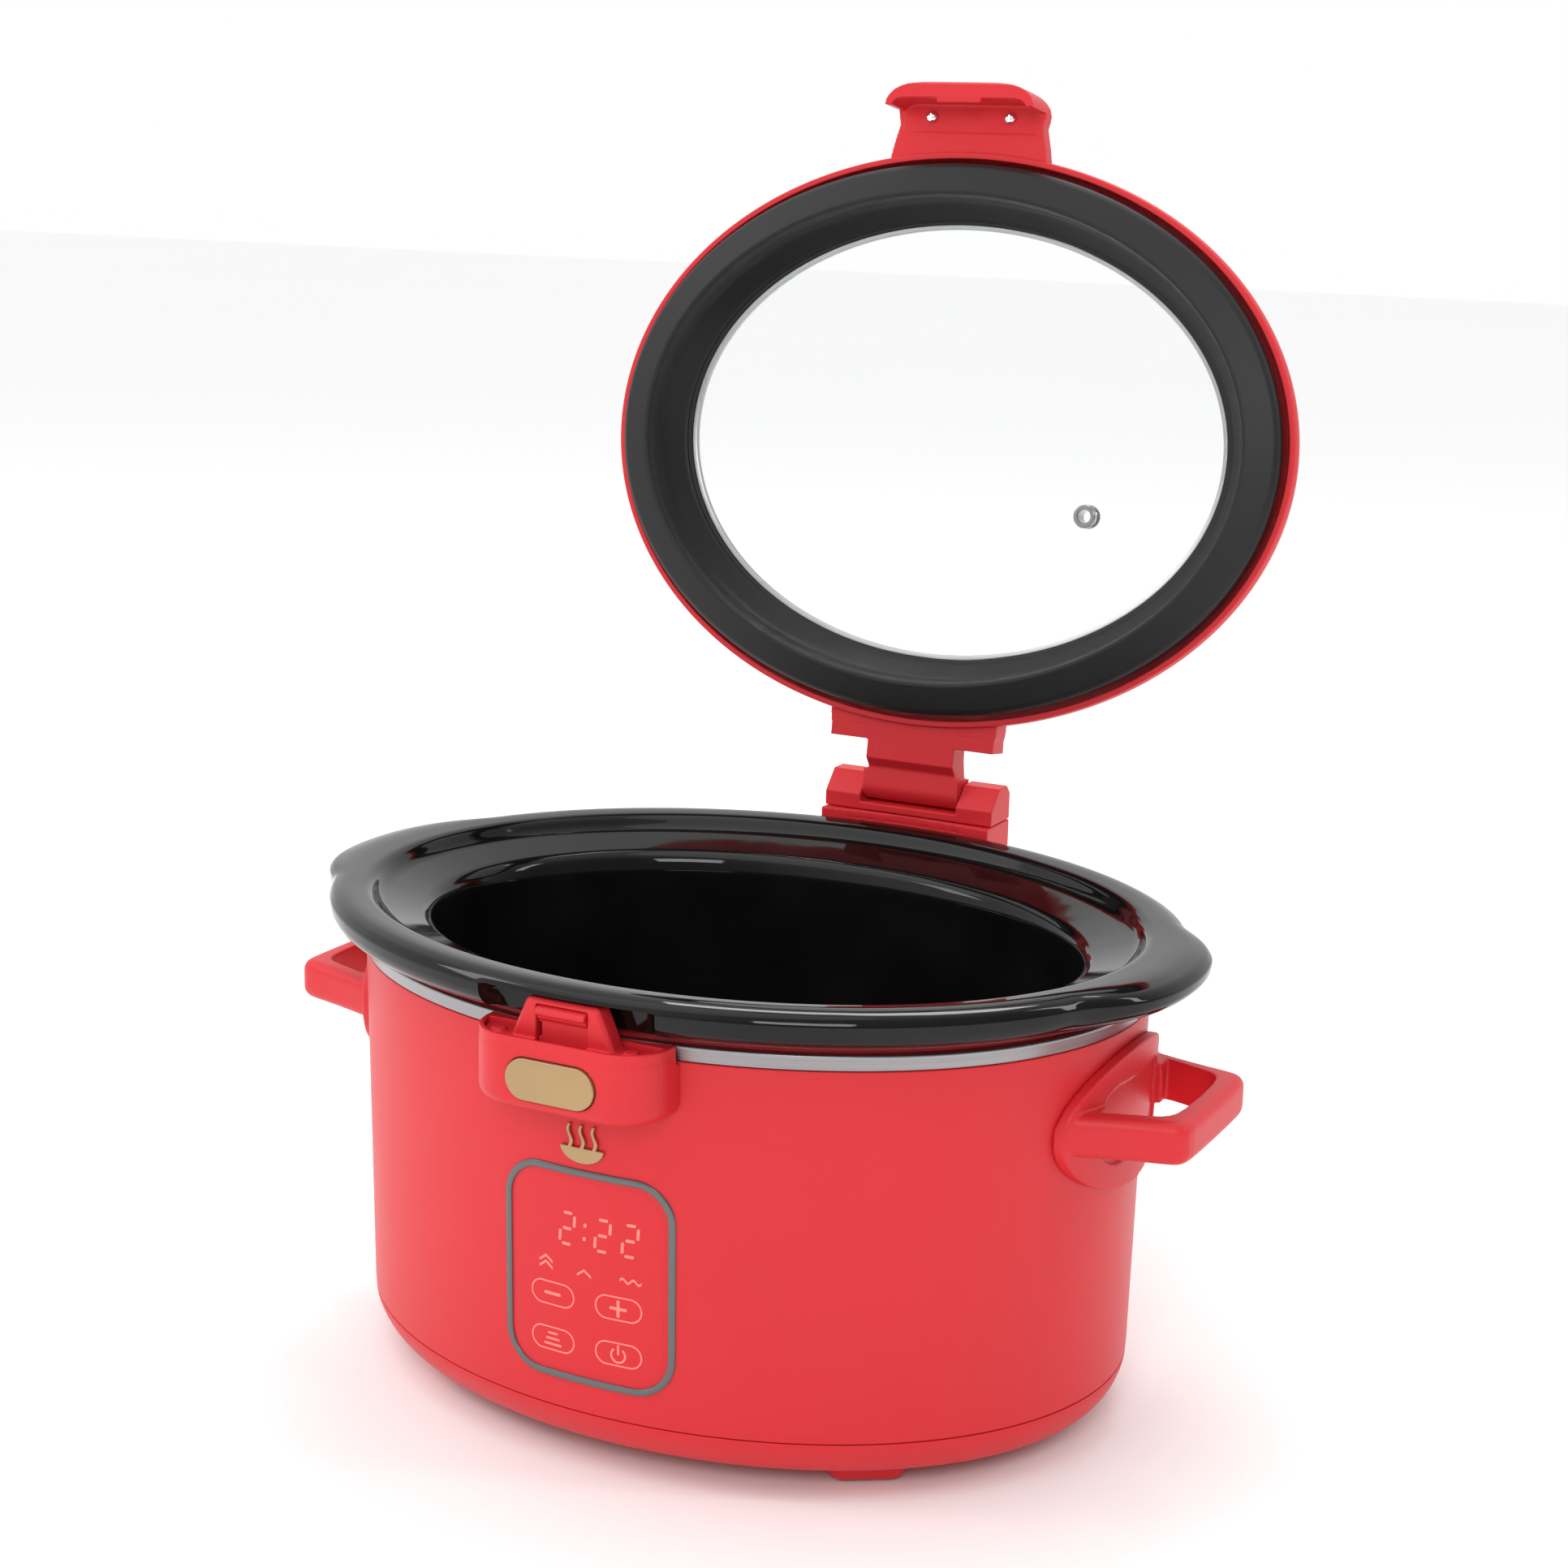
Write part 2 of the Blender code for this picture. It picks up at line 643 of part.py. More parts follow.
def pawl_spring():
    """Torsion spring coiled round the free end of the pawl pin."""
    curve = bpy.data.curves.new("pawl_spring_path", "CURVE")
    curve.dimensions = "3D"
    curve.bevel_depth = 0.35 * MM
    curve.bevel_resolution = 1
    curve.use_fill_caps = True
    spline = curve.splines.new("POLY")
    turns = 3
    steps = 12 * turns
    spline.points.add(steps)
    for i in range(steps + 1):
        angle = 2.0 * math.pi * i / 12
        x = 17.0 + 4.0 * i / steps
        y = PAWL_PIVOT_Y + 2.2 * math.cos(angle)
        z = PAWL_PIVOT_Z + 2.2 * math.sin(angle)
        spline.points[i].co = (x * MM, y * MM, z * MM, 1.0)
    path = bpy.data.objects.new("pawl_spring_path", curve)
    CUTTERS.objects.link(path)
    graph = bpy.context.evaluated_depsgraph_get()
    mesh = bpy.data.meshes.new_from_object(path.evaluated_get(graph))
    bm = bmesh.new()
    bm.from_mesh(mesh)
    bmesh.ops.remove_doubles(bm, verts=bm.verts[:], dist=0.00001)
    bmesh.ops.scale(bm, vec=(1.0 / MM,) * 3, verts=bm.verts[:])
    bpy.data.objects.remove(path)
    bpy.data.meshes.remove(mesh)
    return add_part("pawl_spring", bm, CHROME)


def latch_button():
    """Gold push button with a retaining flange and a push rod."""
    face = rounded_rectangle(0.0, BUTTON_Z, BUTTON_WIDTH, BUTTON_HEIGHT, 8.49, 6)
    obj = add_part("latch_button", prism(face, "Y", BUTTON_FACE_Y, -158.0), SATIN_GOLD)
    bevel(obj, 0.5, 1, 60.0)
    flange = rounded_rectangle(0.0, BUTTON_Z, 43.0, 20.4, 9.0, 6)
    boolean(obj, add_cutter("add_button_flange", prism(flange, "Y", -159.0, -157.2)), "UNION")
    push = box((-4.0, -157.6, 178.0), (4.0, -154.3, 182.0))
    boolean(obj, add_cutter("add_push_rod", push), "UNION")
    return obj


# ---- handles ---------------------------------------------------------------

def handle_plan():
    """Outer and inner outline of the right-hand grip seen from above."""
    outer = [(150.0, -52.0), (172.0, -48.5), (190.0, -43.0), (204.0, -39.6), (210.5, -38.0),
             (213.8, -35.4), (215.0, -30.0), (HANDLE_REACH_X, -10.0)]
    inner = [(179.0, -38.0), (196.0, -32.0), (202.0, -29.4), (205.0, -25.0), (206.4, -10.0)]
    full = outer + [(x, -y) for x, y in reversed(outer)]
    hole = inner + [(x, -y) for x, y in reversed(inner)]
    return full, hole


def side_handle(name, side):
    full, hole = handle_plan()
    grip = prism([(side * x, y) for x, y in full], "Z",
                 HANDLE_LOW_Z, HANDLE_LOW_Z + HANDLE_HEIGHT)
    opening = prism([(side * x, y) for x, y in hole], "Z", 100.0, 200.0)
    for vert in grip.verts:
        reach = abs(vert.co.x) - 171.0
        vert.co.z += HANDLE_RISE * reach / (HANDLE_REACH_X - 171.0)
    obj = add_part(name, grip, RED_SATIN)
    bevel(obj, 3.2, 2, 50.0)
    boolean(obj, add_cutter(f"cut_grip_{name}", opening))
    core = oval_stack([wall(90.0, 3.0), wall(205.0, 3.0)])
    boolean(obj, add_cutter(f"cut_core_{name}", core))
    flange = wall_skin(108.0, 183.2, GAP, 5.2)
    pad = link_mesh(f"flange_{name}", flange, CUTTERS)
    pad.hide_render = True
    pad.display_type = "WIRE"
    shape = ellipse_outline(0.0, HANDLE_Z, 52.0, 30.0, 24)
    low, high = (140.0, 190.0) if side > 0 else (-190.0, -140.0)
    boolean(pad, add_cutter(f"keep_flange_{name}", prism(shape, "X", low, high)), "INTERSECT")
    boolean(obj, pad, "UNION")
    holes = rod("X", (side * 176.0, HANDLE_SCREW_Y[0], HANDLE_Z), 1.8, -9.0, 9.0, 12)
    merge(holes, rod("X", (side * 176.0, HANDLE_SCREW_Y[1], HANDLE_Z), 1.8, -9.0, 9.0, 12))
    boolean(obj, add_cutter(f"cut_screws_{name}", holes))
    return obj


def wall_screw(name, direction, centre):
    """Pan-head screw driven outwards through the housing wall."""
    sign = 1.0 if direction[0] == "+" else -1.0
    profile = [(1.7, -5.4), (3.4, -4.6), (3.4, -3.1), (1.45, -3.1), (1.45, 6.0), (0.8, 7.0)]
    bm = turned([(r, sign * h) for r, h in profile], 12)
    turn_to(bm, direction[1], centre)
    return add_part(name, bm, CHROME)


def wall_screws():
    for side, label in ((1.0, "right"), (-1.0, "left")):
        sign = "+" if side > 0 else "-"
        for y, where in zip(HANDLE_SCREW_Y, ("front", "rear")):
            a, b, _ = wall(HANDLE_Z)
            x = side * a * math.sqrt(1.0 - (y / b) ** 2)
            wall_screw(f"handle_screw_{label}_{where}", sign + "X", (x, y, HANDLE_Z))
    for points, sign, label in ((FIXING_POINTS_FRONT, -1.0, "latch"),
                                (FIXING_POINTS_REAR, 1.0, "hinge")):
        for (x, z), where in zip(points, ("left", "right")):
            a, b, _ = wall(z)
            y = sign * b * math.sqrt(1.0 - (x / a) ** 2)
            direction = "+Y" if sign > 0 else "-Y"
            wall_screw(f"{label}_screw_{where}", direction, (x, y, z))


# ---- hinge -----------------------------------------------------------------

def hinge_bracket():
    """Riser on the back wall that carries the hinge yoke."""
    profile = [(118.0, 146.0), (143.0, 146.0), (150.0, 148.0), (176.0, 176.0),
               (180.0, 182.0), (181.0, 188.0), (181.0, 213.7), (118.0, 213.7)]
    obj = add_part("hinge_bracket", prism(profile, "X", -44.0, 44.0), RED_SATIN)
    boolean(obj, CLEARANCE)
    holes = rod("Y", (32.0, 137.0, 168.0), 1.8, -10.0, 14.0, 12)
    merge(holes, rod("Y", (-32.0, 137.0, 168.0), 1.8, -10.0, 14.0, 12))
    for x in (-YOKE_SCREW_X, YOKE_SCREW_X):
        merge(holes, turned([(4.2, 140.0), (4.2, 204.1), (1.9, 204.1), (1.9, 220.0)], 16,
                            (x, YOKE_SCREW_Y)))
    boolean(obj, add_cutter("cut_bracket_holes", holes))
    return obj


def hinge_yoke():
    """Two ears with sloping fronts on a shared base plate."""
    profile = [(158.5, 214.0), (181.0, 214.0), (181.0, 227.0), (177.0, 231.0),
               (167.5, 231.0), (158.5, 221.5)]
    obj = add_part("hinge_yoke", prism(profile, "X", -EAR_OUTER_X, EAR_OUTER_X), RED_SATIN)
    bevel(obj, 1.2, 2, 40.0)
    bed = box((-EAR_INNER_X, 150.0, 217.8), (EAR_INNER_X, 175.2, 240.0))
    boolean(obj, add_cutter("cut_between_ears", bed))
    top = box((-EAR_INNER_X, 170.0, 226.0), (EAR_INNER_X, 190.0, 240.0))
    boolean(obj, add_cutter("cut_stop_top", top))
    bore = rod("X", (0.0, HINGE_Y, HINGE_Z), PIN_RADIUS + GAP, -41.5, 41.5, 20)
    boolean(obj, add_cutter("cut_pin_bore", bore))
    holes = turned([(1.45, 210.0), (1.45, 220.5)], 12, (YOKE_SCREW_X, YOKE_SCREW_Y))
    merge(holes, turned([(1.45, 210.0), (1.45, 220.5)], 12,
                        (-YOKE_SCREW_X, YOKE_SCREW_Y)))
    boolean(obj, add_cutter("cut_yoke_screw_holes", holes))
    add_part("hinge_pin", rod("X", (0.0, HINGE_Y, HINGE_Z), PIN_RADIUS, -41.2, 41.2, 20), CHROME)
    for x, where in ((-YOKE_SCREW_X, "left"), (YOKE_SCREW_X, "right")):
        screw = turned([(2.0, 200.6), (3.6, 201.4), (3.6, 203.7), (1.15, 203.7),
                        (1.15, 220.0)], 12, (x, YOKE_SCREW_Y))
        add_part(f"yoke_screw_{where}", screw, CHROME)
    return obj


# ---- pot -------------------------------------------------------------------

def crock():
    """Glazed stoneware pot with a stepped rim and two lifting tabs."""
    sections = [
        (112.0, 80.0, 29.2),
        (118.0, 86.0, 29.6),
        (130.5, 97.8, 34.0),
        (136.5, 103.3, 39.5),
        (139.0, 105.5, 46.0),
        (157.6, 120.7, 188.0),
        (158.6, 121.6, 193.0),
        (161.0, 124.0, 195.4),
        (182.0, 145.8, 195.4, 2.5),
        (187.4, 151.1, 196.4, 5.0),
        (190.8, 154.5, 199.4, 9.0),
        (192.0, 155.7, 202.6, 10.6),
        (192.3, 156.0, 207.0, 10.7),
        (190.4, 154.1, 209.9, 9.8),
        (186.4, 150.2, 211.2, 6.5),
        (183.0, 146.8, 211.4, 4.0),
        (175.6, 140.2, 210.9),
        (173.0, 137.4, 209.6),
        (170.8, 134.2, 206.0),
        (168.6, 131.6, 204.4),
        (150.4, 113.2, 198.8),
        (147.9, 110.5, 196.8),
        (146.5, 109.2, 192.0),
        (132.6, 98.6, 56.0),
        (129.8, 95.6, 47.5),
        (122.5, 88.0, 41.5),
        (110.0, 76.0, 39.4),
    ]
    obj = add_part("crock", oval_stack(sections), BLACK_GLAZE)
    relief = [(-38.0, 194.0), (38.0, 194.0), (34.5, 204.6), (31.5, 207.0),
              (-31.5, 207.0), (-34.5, 204.6)]
    boolean(obj, add_cutter("cut_latch_relief", prism(relief, "Y", -170.0, -143.4)))
    return obj


# ---- lid, modelled closed and then swung open on its pivot -------------------

def lid_frame():
    sections = [
        (174.0, 135.0, 212.3),
        (174.6, 135.6, 216.0),
        (173.2, 134.2, 223.0),
        (168.0, 129.2, 229.5),
        (157.0, 118.6, 234.0),
        (146.0, 108.6, 236.3),
        (143.2, 106.0, 235.6),
        (142.4, 105.4, 232.0),
        (150.2, 112.8, 231.4),
        (166.0, 127.2, 226.5),
        (170.6, 131.6, 221.0),
        (171.2, 132.2, 212.3),
    ]
    obj = add_part("lid_frame", oval_loop(sections), RED_SATIN)
    hollow = oval_stack([(172.8, 133.8, 190.0), (172.6, 133.6, 218.0),
                         (168.0, 129.0, 226.0), (160.0, 121.6, 229.5), (160.0, 121.6, 245.0)])
    hollow = add_cutter("cut_lid_middle", hollow)
    boolean(obj, lid_arm(hollow), "UNION")
    boolean(obj, lid_grip(hollow), "UNION")
    bore = rod("X", (0.0, HINGE_Y, HINGE_Z), PIN_RADIUS + GAP, -40.0, 40.0, 20)
    boolean(obj, add_cutter("cut_knuckle_bore", bore))
    screws = turned([(1.7, 210.0), (1.7, 219.4)], 12, (LID_SCREW_X, LID_SCREW_Y))
    merge(screws, turned([(1.7, 210.0), (1.7, 219.4)], 12, (-LID_SCREW_X, LID_SCREW_Y)))
    boolean(obj, add_cutter("cut_grip_screws", screws))
    return obj


def lid_arm(hollow):
    """Rear arm: a wide root, a narrower neck and the hinge knuckle."""
    plan = mirrored([(42.7, 118.0), (42.7, 144.5), (22.8, 144.5), (22.8, 159.0),
                     (25.0, 159.0), (25.0, 176.0)])
    arm = add_cutter("lid_arm", prism(plan, "Z", 200.0, 240.0))
    side = [(110.0, 215.0), (153.5, 215.0), (157.5, 218.9)]
    for i in range(9):
        angle = math.radians(-90.0 + 180.0 * i / 8)
        side.append((HINGE_Y + KNUCKLE_RADIUS * math.cos(angle),
                     HINGE_Z + KNUCKLE_RADIUS * math.sin(angle)))
    side += [(160.0, 232.4), (150.0, 229.2), (132.0, 227.4), (110.0, 227.4)]
    boolean(arm, add_cutter("keep_arm_side", prism(side, "X", -60.0, 60.0)), "INTERSECT")
    boolean(arm, hollow)
    return arm


def lid_grip(hollow):
    """Front tab of the lid with the hood that covers the latch."""
    plan = mirrored([(43.0, -118.0), (40.6, -128.0), (38.4, -140.0), (36.4, -147.6),
                     (37.4, -151.5), (37.6, -154.6), (36.2, -158.4), (33.2, -161.4),
                     (28.5, -163.6), (22.0, -164.8), (10.0, -165.4)])
    grip = add_cutter("lid_grip", prism(plan, "Z", 190.0, 240.0))
    side = [(-110.0, 214.0), (-154.2, 214.0), (-154.2, 197.0), (-164.6, 197.0),
            (-165.4, 199.0), (-165.4, 206.0), (-164.0, 213.0), (-161.0, 218.0),
            (-156.0, 221.2), (-146.0, 222.2), (-110.0, 222.2)]
    boolean(grip, add_cutter("keep_grip_side", prism(side, "X", -60.0, 60.0)), "INTERSECT")
    inner = mirrored([(34.4, -148.0), (34.4, -152.5), (33.0, -156.0), (29.5, -157.6)])
    boolean(grip, add_cutter("cut_hood", prism(inner, "Z", 180.0, 214.4)))
    boolean(grip, hollow)
    ledge = box((-11.0, -158.6, 197.2), (11.0, -155.6, 199.0))
    boolean(grip, add_cutter("add_catch_ledge", ledge), "UNION")
    return grip


def lid_seal():
    sections = [
        (168.8, 129.4, 211.5),
        (168.8, 129.4, 206.9),
        (166.5, 127.2, 205.0),
        (153.5, 115.2, 201.2),
        (152.0, 113.8, 201.8),
        (151.5, 113.3, 213.0),
        (141.5, 104.6, 222.5),
        (139.1, 103.0, 224.5),
        (139.1, 103.0, 226.2),
        (147.8, 111.0, 226.2),
        (154.5, 116.6, 216.0),
        (154.6, 116.8, 204.2),
        (164.8, 125.6, 207.6),
        (166.8, 127.4, 211.5),
    ]
    return add_part("lid_seal", oval_loop(sections), BLACK_RUBBER)


def glass_height(share, top):
    """Height of the domed pane at a share of its radius."""
    return 240.3 - 9.6 * share ** 2 if top else 236.3 - 9.8 * share ** 2


def lid_glass():
    shares = (0.2, 0.45, 0.65, 0.82, 0.94, 1.0)
    lower = [(PANE_HALF_LENGTH * s, PANE_HALF_DEPTH * s, glass_height(s, False)) for s in shares]
    upper = [(PANE_HALF_LENGTH * s, PANE_HALF_DEPTH * s, glass_height(s, True))
             for s in reversed(shares)]
    obj = add_part("lid_glass", oval_stack(lower + upper), CLEAR_GLASS)
    hole = turned([(4.7, 225.0), (4.7, 245.0)], 20, (VENT_X, VENT_Y))
    boolean(obj, add_cutter("cut_vent_hole", hole))
    return obj


def vent_grommet():
    profile = [(3.1, 231.2), (5.2, 231.2), (5.7, 231.8), (5.7, 232.6), (4.3, 232.6),
               (4.3, 238.2), (5.7, 238.2), (5.7, 239.0), (5.2, 239.6), (3.1, 239.6)]
    return add_part("vent_grommet", turned_loop(profile, 24, (VENT_X, VENT_Y)), CHROME)


def lid_screws():
    for x, where in ((-LID_SCREW_X, "left"), (LID_SCREW_X, "right")):
        profile = [(1.5, 211.7), (2.6, 212.5), (2.6, 214.1), (1.4, 214.1), (1.4, 219.0)]
        add_part(f"lid_screw_{where}", turned(profile, 16, (x, LID_SCREW_Y)), CHROME)


def hang_lid_on_pivot():
    """Parent the closed lid to its hinge axis and swing it open."""
    pivot = bpy.data.objects.new("lid_pivot", None)
    PARTS.objects.link(pivot)
    axis = Matrix.Translation((0.0, HINGE_Y * MM, HINGE_Z * MM))
    pivot.matrix_world = axis
    pieces = [o for o in PARTS.objects if o.name.startswith(LID_PREFIXES)]
    pieces += [o for o in CUTTERS.objects if o.name in LID_CUTTERS]
    for obj in pieces:
        obj.parent = pivot
        obj.matrix_parent_inverse = axis.inverted()
    pivot.rotation_euler = (math.radians(-HINGE_OPEN_DEG), 0.0, 0.0)


def shift_assembly():
    """Centre the whole cooker on the origin."""
    for obj in list(PARTS.objects) + list(CUTTERS.objects):
        if obj.parent is None:
            obj.location.y += ASSEMBLY_SHIFT_Y * MM


for old in list(bpy.data.objects):
    bpy.data.objects.remove(old, do_unlink=True)

PARTS = collection("slow_cooker")
CUTTERS = collection("slow_cooker_cutters")
CLEARANCE = add_cutter("body_clearance", body_clearance())

outer_housing()
base_pan()
for foot_name, foot_sx, foot_sy in (("foot_front_left", -1, -1), ("foot_front_right", 1, -1),
                                    ("foot_rear_left", -1, 1), ("foot_rear_right", 1, 1)):
    foot(foot_name, foot_sx, foot_sy)
metal_rim_band()
heating_well()
band_heater()
insulation_wrap()
heat_shield()
thermostat()
power_board()
cord_inlet()
panel_bezel()
panel_face()
display_board()
emblem()
latch_housing()
latch_tower()
latch_pawl()
pawl_spring()
latch_button()
side_handle("handle_right", 1.0)
side_handle("handle_left", -1.0)
wall_screws()
hinge_bracket()
hinge_yoke()
crock()
lid_frame()
lid_seal()
lid_glass()
vent_grommet()
lid_screws()
hang_lid_on_pivot()
shift_assembly()
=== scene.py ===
"""Looks of the oval slow cooker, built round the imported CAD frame.

Shapes are given in millimetres about the centre of the cooker's oval, with the
lid closed. place() takes them to metres and swings the lid's pieces open.
"""

import json
import math

import bmesh
import bpy
import numpy as np
from mathutils import Matrix, Vector


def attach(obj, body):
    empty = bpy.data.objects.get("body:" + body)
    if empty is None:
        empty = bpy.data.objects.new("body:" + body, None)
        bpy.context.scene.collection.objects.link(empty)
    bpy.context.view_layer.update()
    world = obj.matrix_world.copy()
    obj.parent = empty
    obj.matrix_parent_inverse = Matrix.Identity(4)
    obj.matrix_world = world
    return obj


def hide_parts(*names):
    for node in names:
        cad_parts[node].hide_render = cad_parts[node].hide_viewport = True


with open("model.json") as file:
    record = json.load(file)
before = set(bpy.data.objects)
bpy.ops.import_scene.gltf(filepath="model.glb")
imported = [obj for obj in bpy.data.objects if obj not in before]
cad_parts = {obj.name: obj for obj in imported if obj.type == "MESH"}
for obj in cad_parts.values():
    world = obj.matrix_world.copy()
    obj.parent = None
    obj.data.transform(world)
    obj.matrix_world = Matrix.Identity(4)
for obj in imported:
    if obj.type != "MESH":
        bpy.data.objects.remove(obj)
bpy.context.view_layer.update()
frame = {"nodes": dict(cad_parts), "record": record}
scene = bpy.context.scene

MM = 0.001
# The oval's centre stands this far from the origin along Y.
SHIFT_Y = -28.1


def pivot(joint):
    """A joint's place as (y, z), in millimetres about the oval's centre."""
    _, y, z = joint["pos_m"]
    return y / MM - SHIFT_Y, z / MM


JOINTS = {joint["name"]: joint for joint in frame["record"]["behaviour"]["joints"]}
OPEN_DEG = JOINTS["lid_hinge"]["range_deg"][1]
HINGE = pivot(JOINTS["lid_hinge"])
PAWL_PIVOT = pivot(JOINTS["latch_pawl_turn"])

# Steps round a full oval, and round one that only cuts.
RING = 240
CUTTER_RING = 180

# Outer wall: half width, half depth and height at its two edges.
WALL_LOW = (174.3, 137.0, 26.9)
WALL_TOP = (176.6, 139.7, 183.6)

FEET_X = 98.0
FEET_Y = 76.5
FEET_TURN_DEG = 33.0
PAD_RADIUS = 8.0

# Control panel, as (x, z).
PANEL_CENTRE = (1.5, 85.8)
PANEL_SIZE = (78.6, 92.3)
PANEL_RADIUS = 17.5
PANEL_CORNER_STEPS = 14
BEZEL_WIDTH = 3.0
DIGIT_Z = 105.7
DIGIT_SIZE = (6.4, 13.4)
DIGIT_SLANT = 0.07
MARK_Z = 87.4
KEY_X = (-14.3, 16.3)
KEY_Z = (75.8, 56.0)
BADGE = (0.5, 141.5)

LATCH_LOW_Z = 161.0
LATCH_TOP_Z = 191.0
BUTTON_Z = 175.0
BUTTON_SIZE = (40.0, 17.0)
BUTTON_FACE_Y = -164.2
PEG_X = 30.0
CATCH_HALF_WIDTH = 11.0

HANDLE_Z = (140.0, 158.0)
FLANGE_Z = 147.0
TAB_HALF_WIDTH = 62.0

VENT = (70.0, 29.0)
PANE_HALF = (146.8, 110.1)
HOOD_SCREW_X = 20.0
HOOD_SCREW_Y = -151.5
EAR_INNER_X = 25.3
EAR_OUTER_X = 44.0
HINGE_BORE_RADIUS = 2.8
INLET_Z = 45.0

# Camera, in metres and degrees.
CAMERA_SPOT = (0.5400, -1.0232 + SHIFT_Y * MM, 0.5338)
CAMERA_TARGET = (0.01457, SHIFT_Y * MM, 0.26315)
CAMERA_ROLL_DEG = 1.31
CAMERA_LENS_MM = 63.70


# ---- materials --------------------------------------------------------------

def new_material(name, colour, metallic, roughness):
    mat = bpy.data.materials.new(name)
    mat.use_nodes = True
    shader = mat.node_tree.nodes["Principled BSDF"]
    shader.inputs["Base Color"].default_value = (*colour, 1.0)
    shader.inputs["Metallic"].default_value = metallic
    shader.inputs["Roughness"].default_value = roughness
    return mat, mat.node_tree, shader


def noise(tree, scale, detail=3.0, stretch=(1.0, 1.0, 1.0)):
    """Noise over the object's own coordinates, in metres."""
    coord = tree.nodes.new("ShaderNodeTexCoord")
    mapping = tree.nodes.new("ShaderNodeMapping")
    mapping.inputs["Scale"].default_value = stretch
    texture = tree.nodes.new("ShaderNodeTexNoise")
    texture.inputs["Scale"].default_value = scale
    texture.inputs["Detail"].default_value = detail
    tree.links.new(coord.outputs["Object"], mapping.inputs["Vector"])
    tree.links.new(mapping.outputs["Vector"], texture.inputs["Vector"])
    return texture.outputs["Fac"]


def vary(tree, source, low, high):
    """Turn a noise value into a value between low and high."""
    span = tree.nodes.new("ShaderNodeMapRange")
    span.inputs["From Min"].default_value = 0.3
    span.inputs["From Max"].default_value = 0.7
    span.inputs["To Min"].default_value = low
    span.inputs["To Max"].default_value = high
    tree.links.new(source, span.inputs["Value"])
    return span.outputs["Result"]


def tint(tree, source, first, second, shader):
    """Blend the base colour between two colours."""
    ramp = tree.nodes.new("ShaderNodeValToRGB")
    ramp.color_ramp.elements[0].position = 0.3
    ramp.color_ramp.elements[0].color = (*first, 1.0)
    ramp.color_ramp.elements[1].position = 0.7
    ramp.color_ramp.elements[1].color = (*second, 1.0)
    tree.links.new(source, ramp.inputs["Fac"])
    tree.links.new(ramp.outputs["Color"], shader.inputs["Base Color"])


def bump(tree, source, shader, distance, strength=1.0):
    node = tree.nodes.new("ShaderNodeBump")
    node.inputs["Distance"].default_value = distance
    node.inputs["Strength"].default_value = strength
    tree.links.new(source, node.inputs["Height"])
    tree.links.new(node.outputs["Normal"], shader.inputs["Normal"])


def satin_material(name, colour, shade=0.94, roughness=0.4, grain=0.00002, metallic=0.0,
                   grain_scale=2600.0, specular=0.5):
    """Slightly uneven colour and gloss with a very fine grain."""
    mat, tree, shader = new_material(name, colour, metallic, roughness)
    broad = noise(tree, 14.0)
    tint(tree, broad, tuple(c * shade for c in colour), colour, shader)
    tree.links.new(vary(tree, broad, roughness - 0.03, roughness + 0.03),
                   shader.inputs["Roughness"])
    bump(tree, noise(tree, grain_scale, 2.0), shader, grain)
    shader.inputs["Specular IOR Level"].default_value = specular
    return mat


def brushed_material(name, colour, roughness, stretch):
    """Metal with fine lines, which run across the axis of greatest stretch."""
    mat, tree, shader = new_material(name, colour, 1.0, roughness)
    lines = noise(tree, 1.0, 4.0, stretch)
    tint(tree, lines, tuple(c * 0.8 for c in colour), colour, shader)
    tree.links.new(vary(tree, lines, roughness - 0.04, roughness + 0.06),
                   shader.inputs["Roughness"])
    bump(tree, lines, shader, 0.000004, 0.5)
    return mat


def glaze_material():
    """Black glaze, glossy, with the slow waves of a dipped coat."""
    mat, tree, shader = new_material("black_glaze", (0.004, 0.004, 0.004), 0.0, 0.045)
    waves = noise(tree, 22.0, 2.0)
    tint(tree, waves, (0.003, 0.003, 0.003), (0.006, 0.006, 0.006), shader)
    tree.links.new(vary(tree, noise(tree, 60.0), 0.03, 0.075), shader.inputs["Roughness"])
    bump(tree, waves, shader, 0.0006, 0.5)
    shader.inputs["IOR"].default_value = 1.36
    return mat


def glass_material():
    """Thin clear glass that bends what is behind it only slightly."""
    mat, tree, shader = new_material("clear_glass", (0.985, 0.995, 0.99), 0.0, 0.0)
    shader.inputs["Transmission Weight"].default_value = 1.0
    shader.inputs["IOR"].default_value = 1.12
    tree.links.new(vary(tree, noise(tree, 8.0), 0.0, 0.012), shader.inputs["Roughness"])
    return mat


def glow_material():
    """Pale red print, faintly lit from behind."""
    mat, tree, shader = new_material("panel_glow", (0.9, 0.2, 0.16), 0.0, 0.5)
    tint(tree, noise(tree, 900.0), (0.92, 0.18, 0.14), (1.0, 0.22, 0.18), shader)
    shader.inputs["Emission Color"].default_value = (1.0, 0.13, 0.11, 1.0)
    shader.inputs["Emission Strength"].default_value = 0.42
    return mat


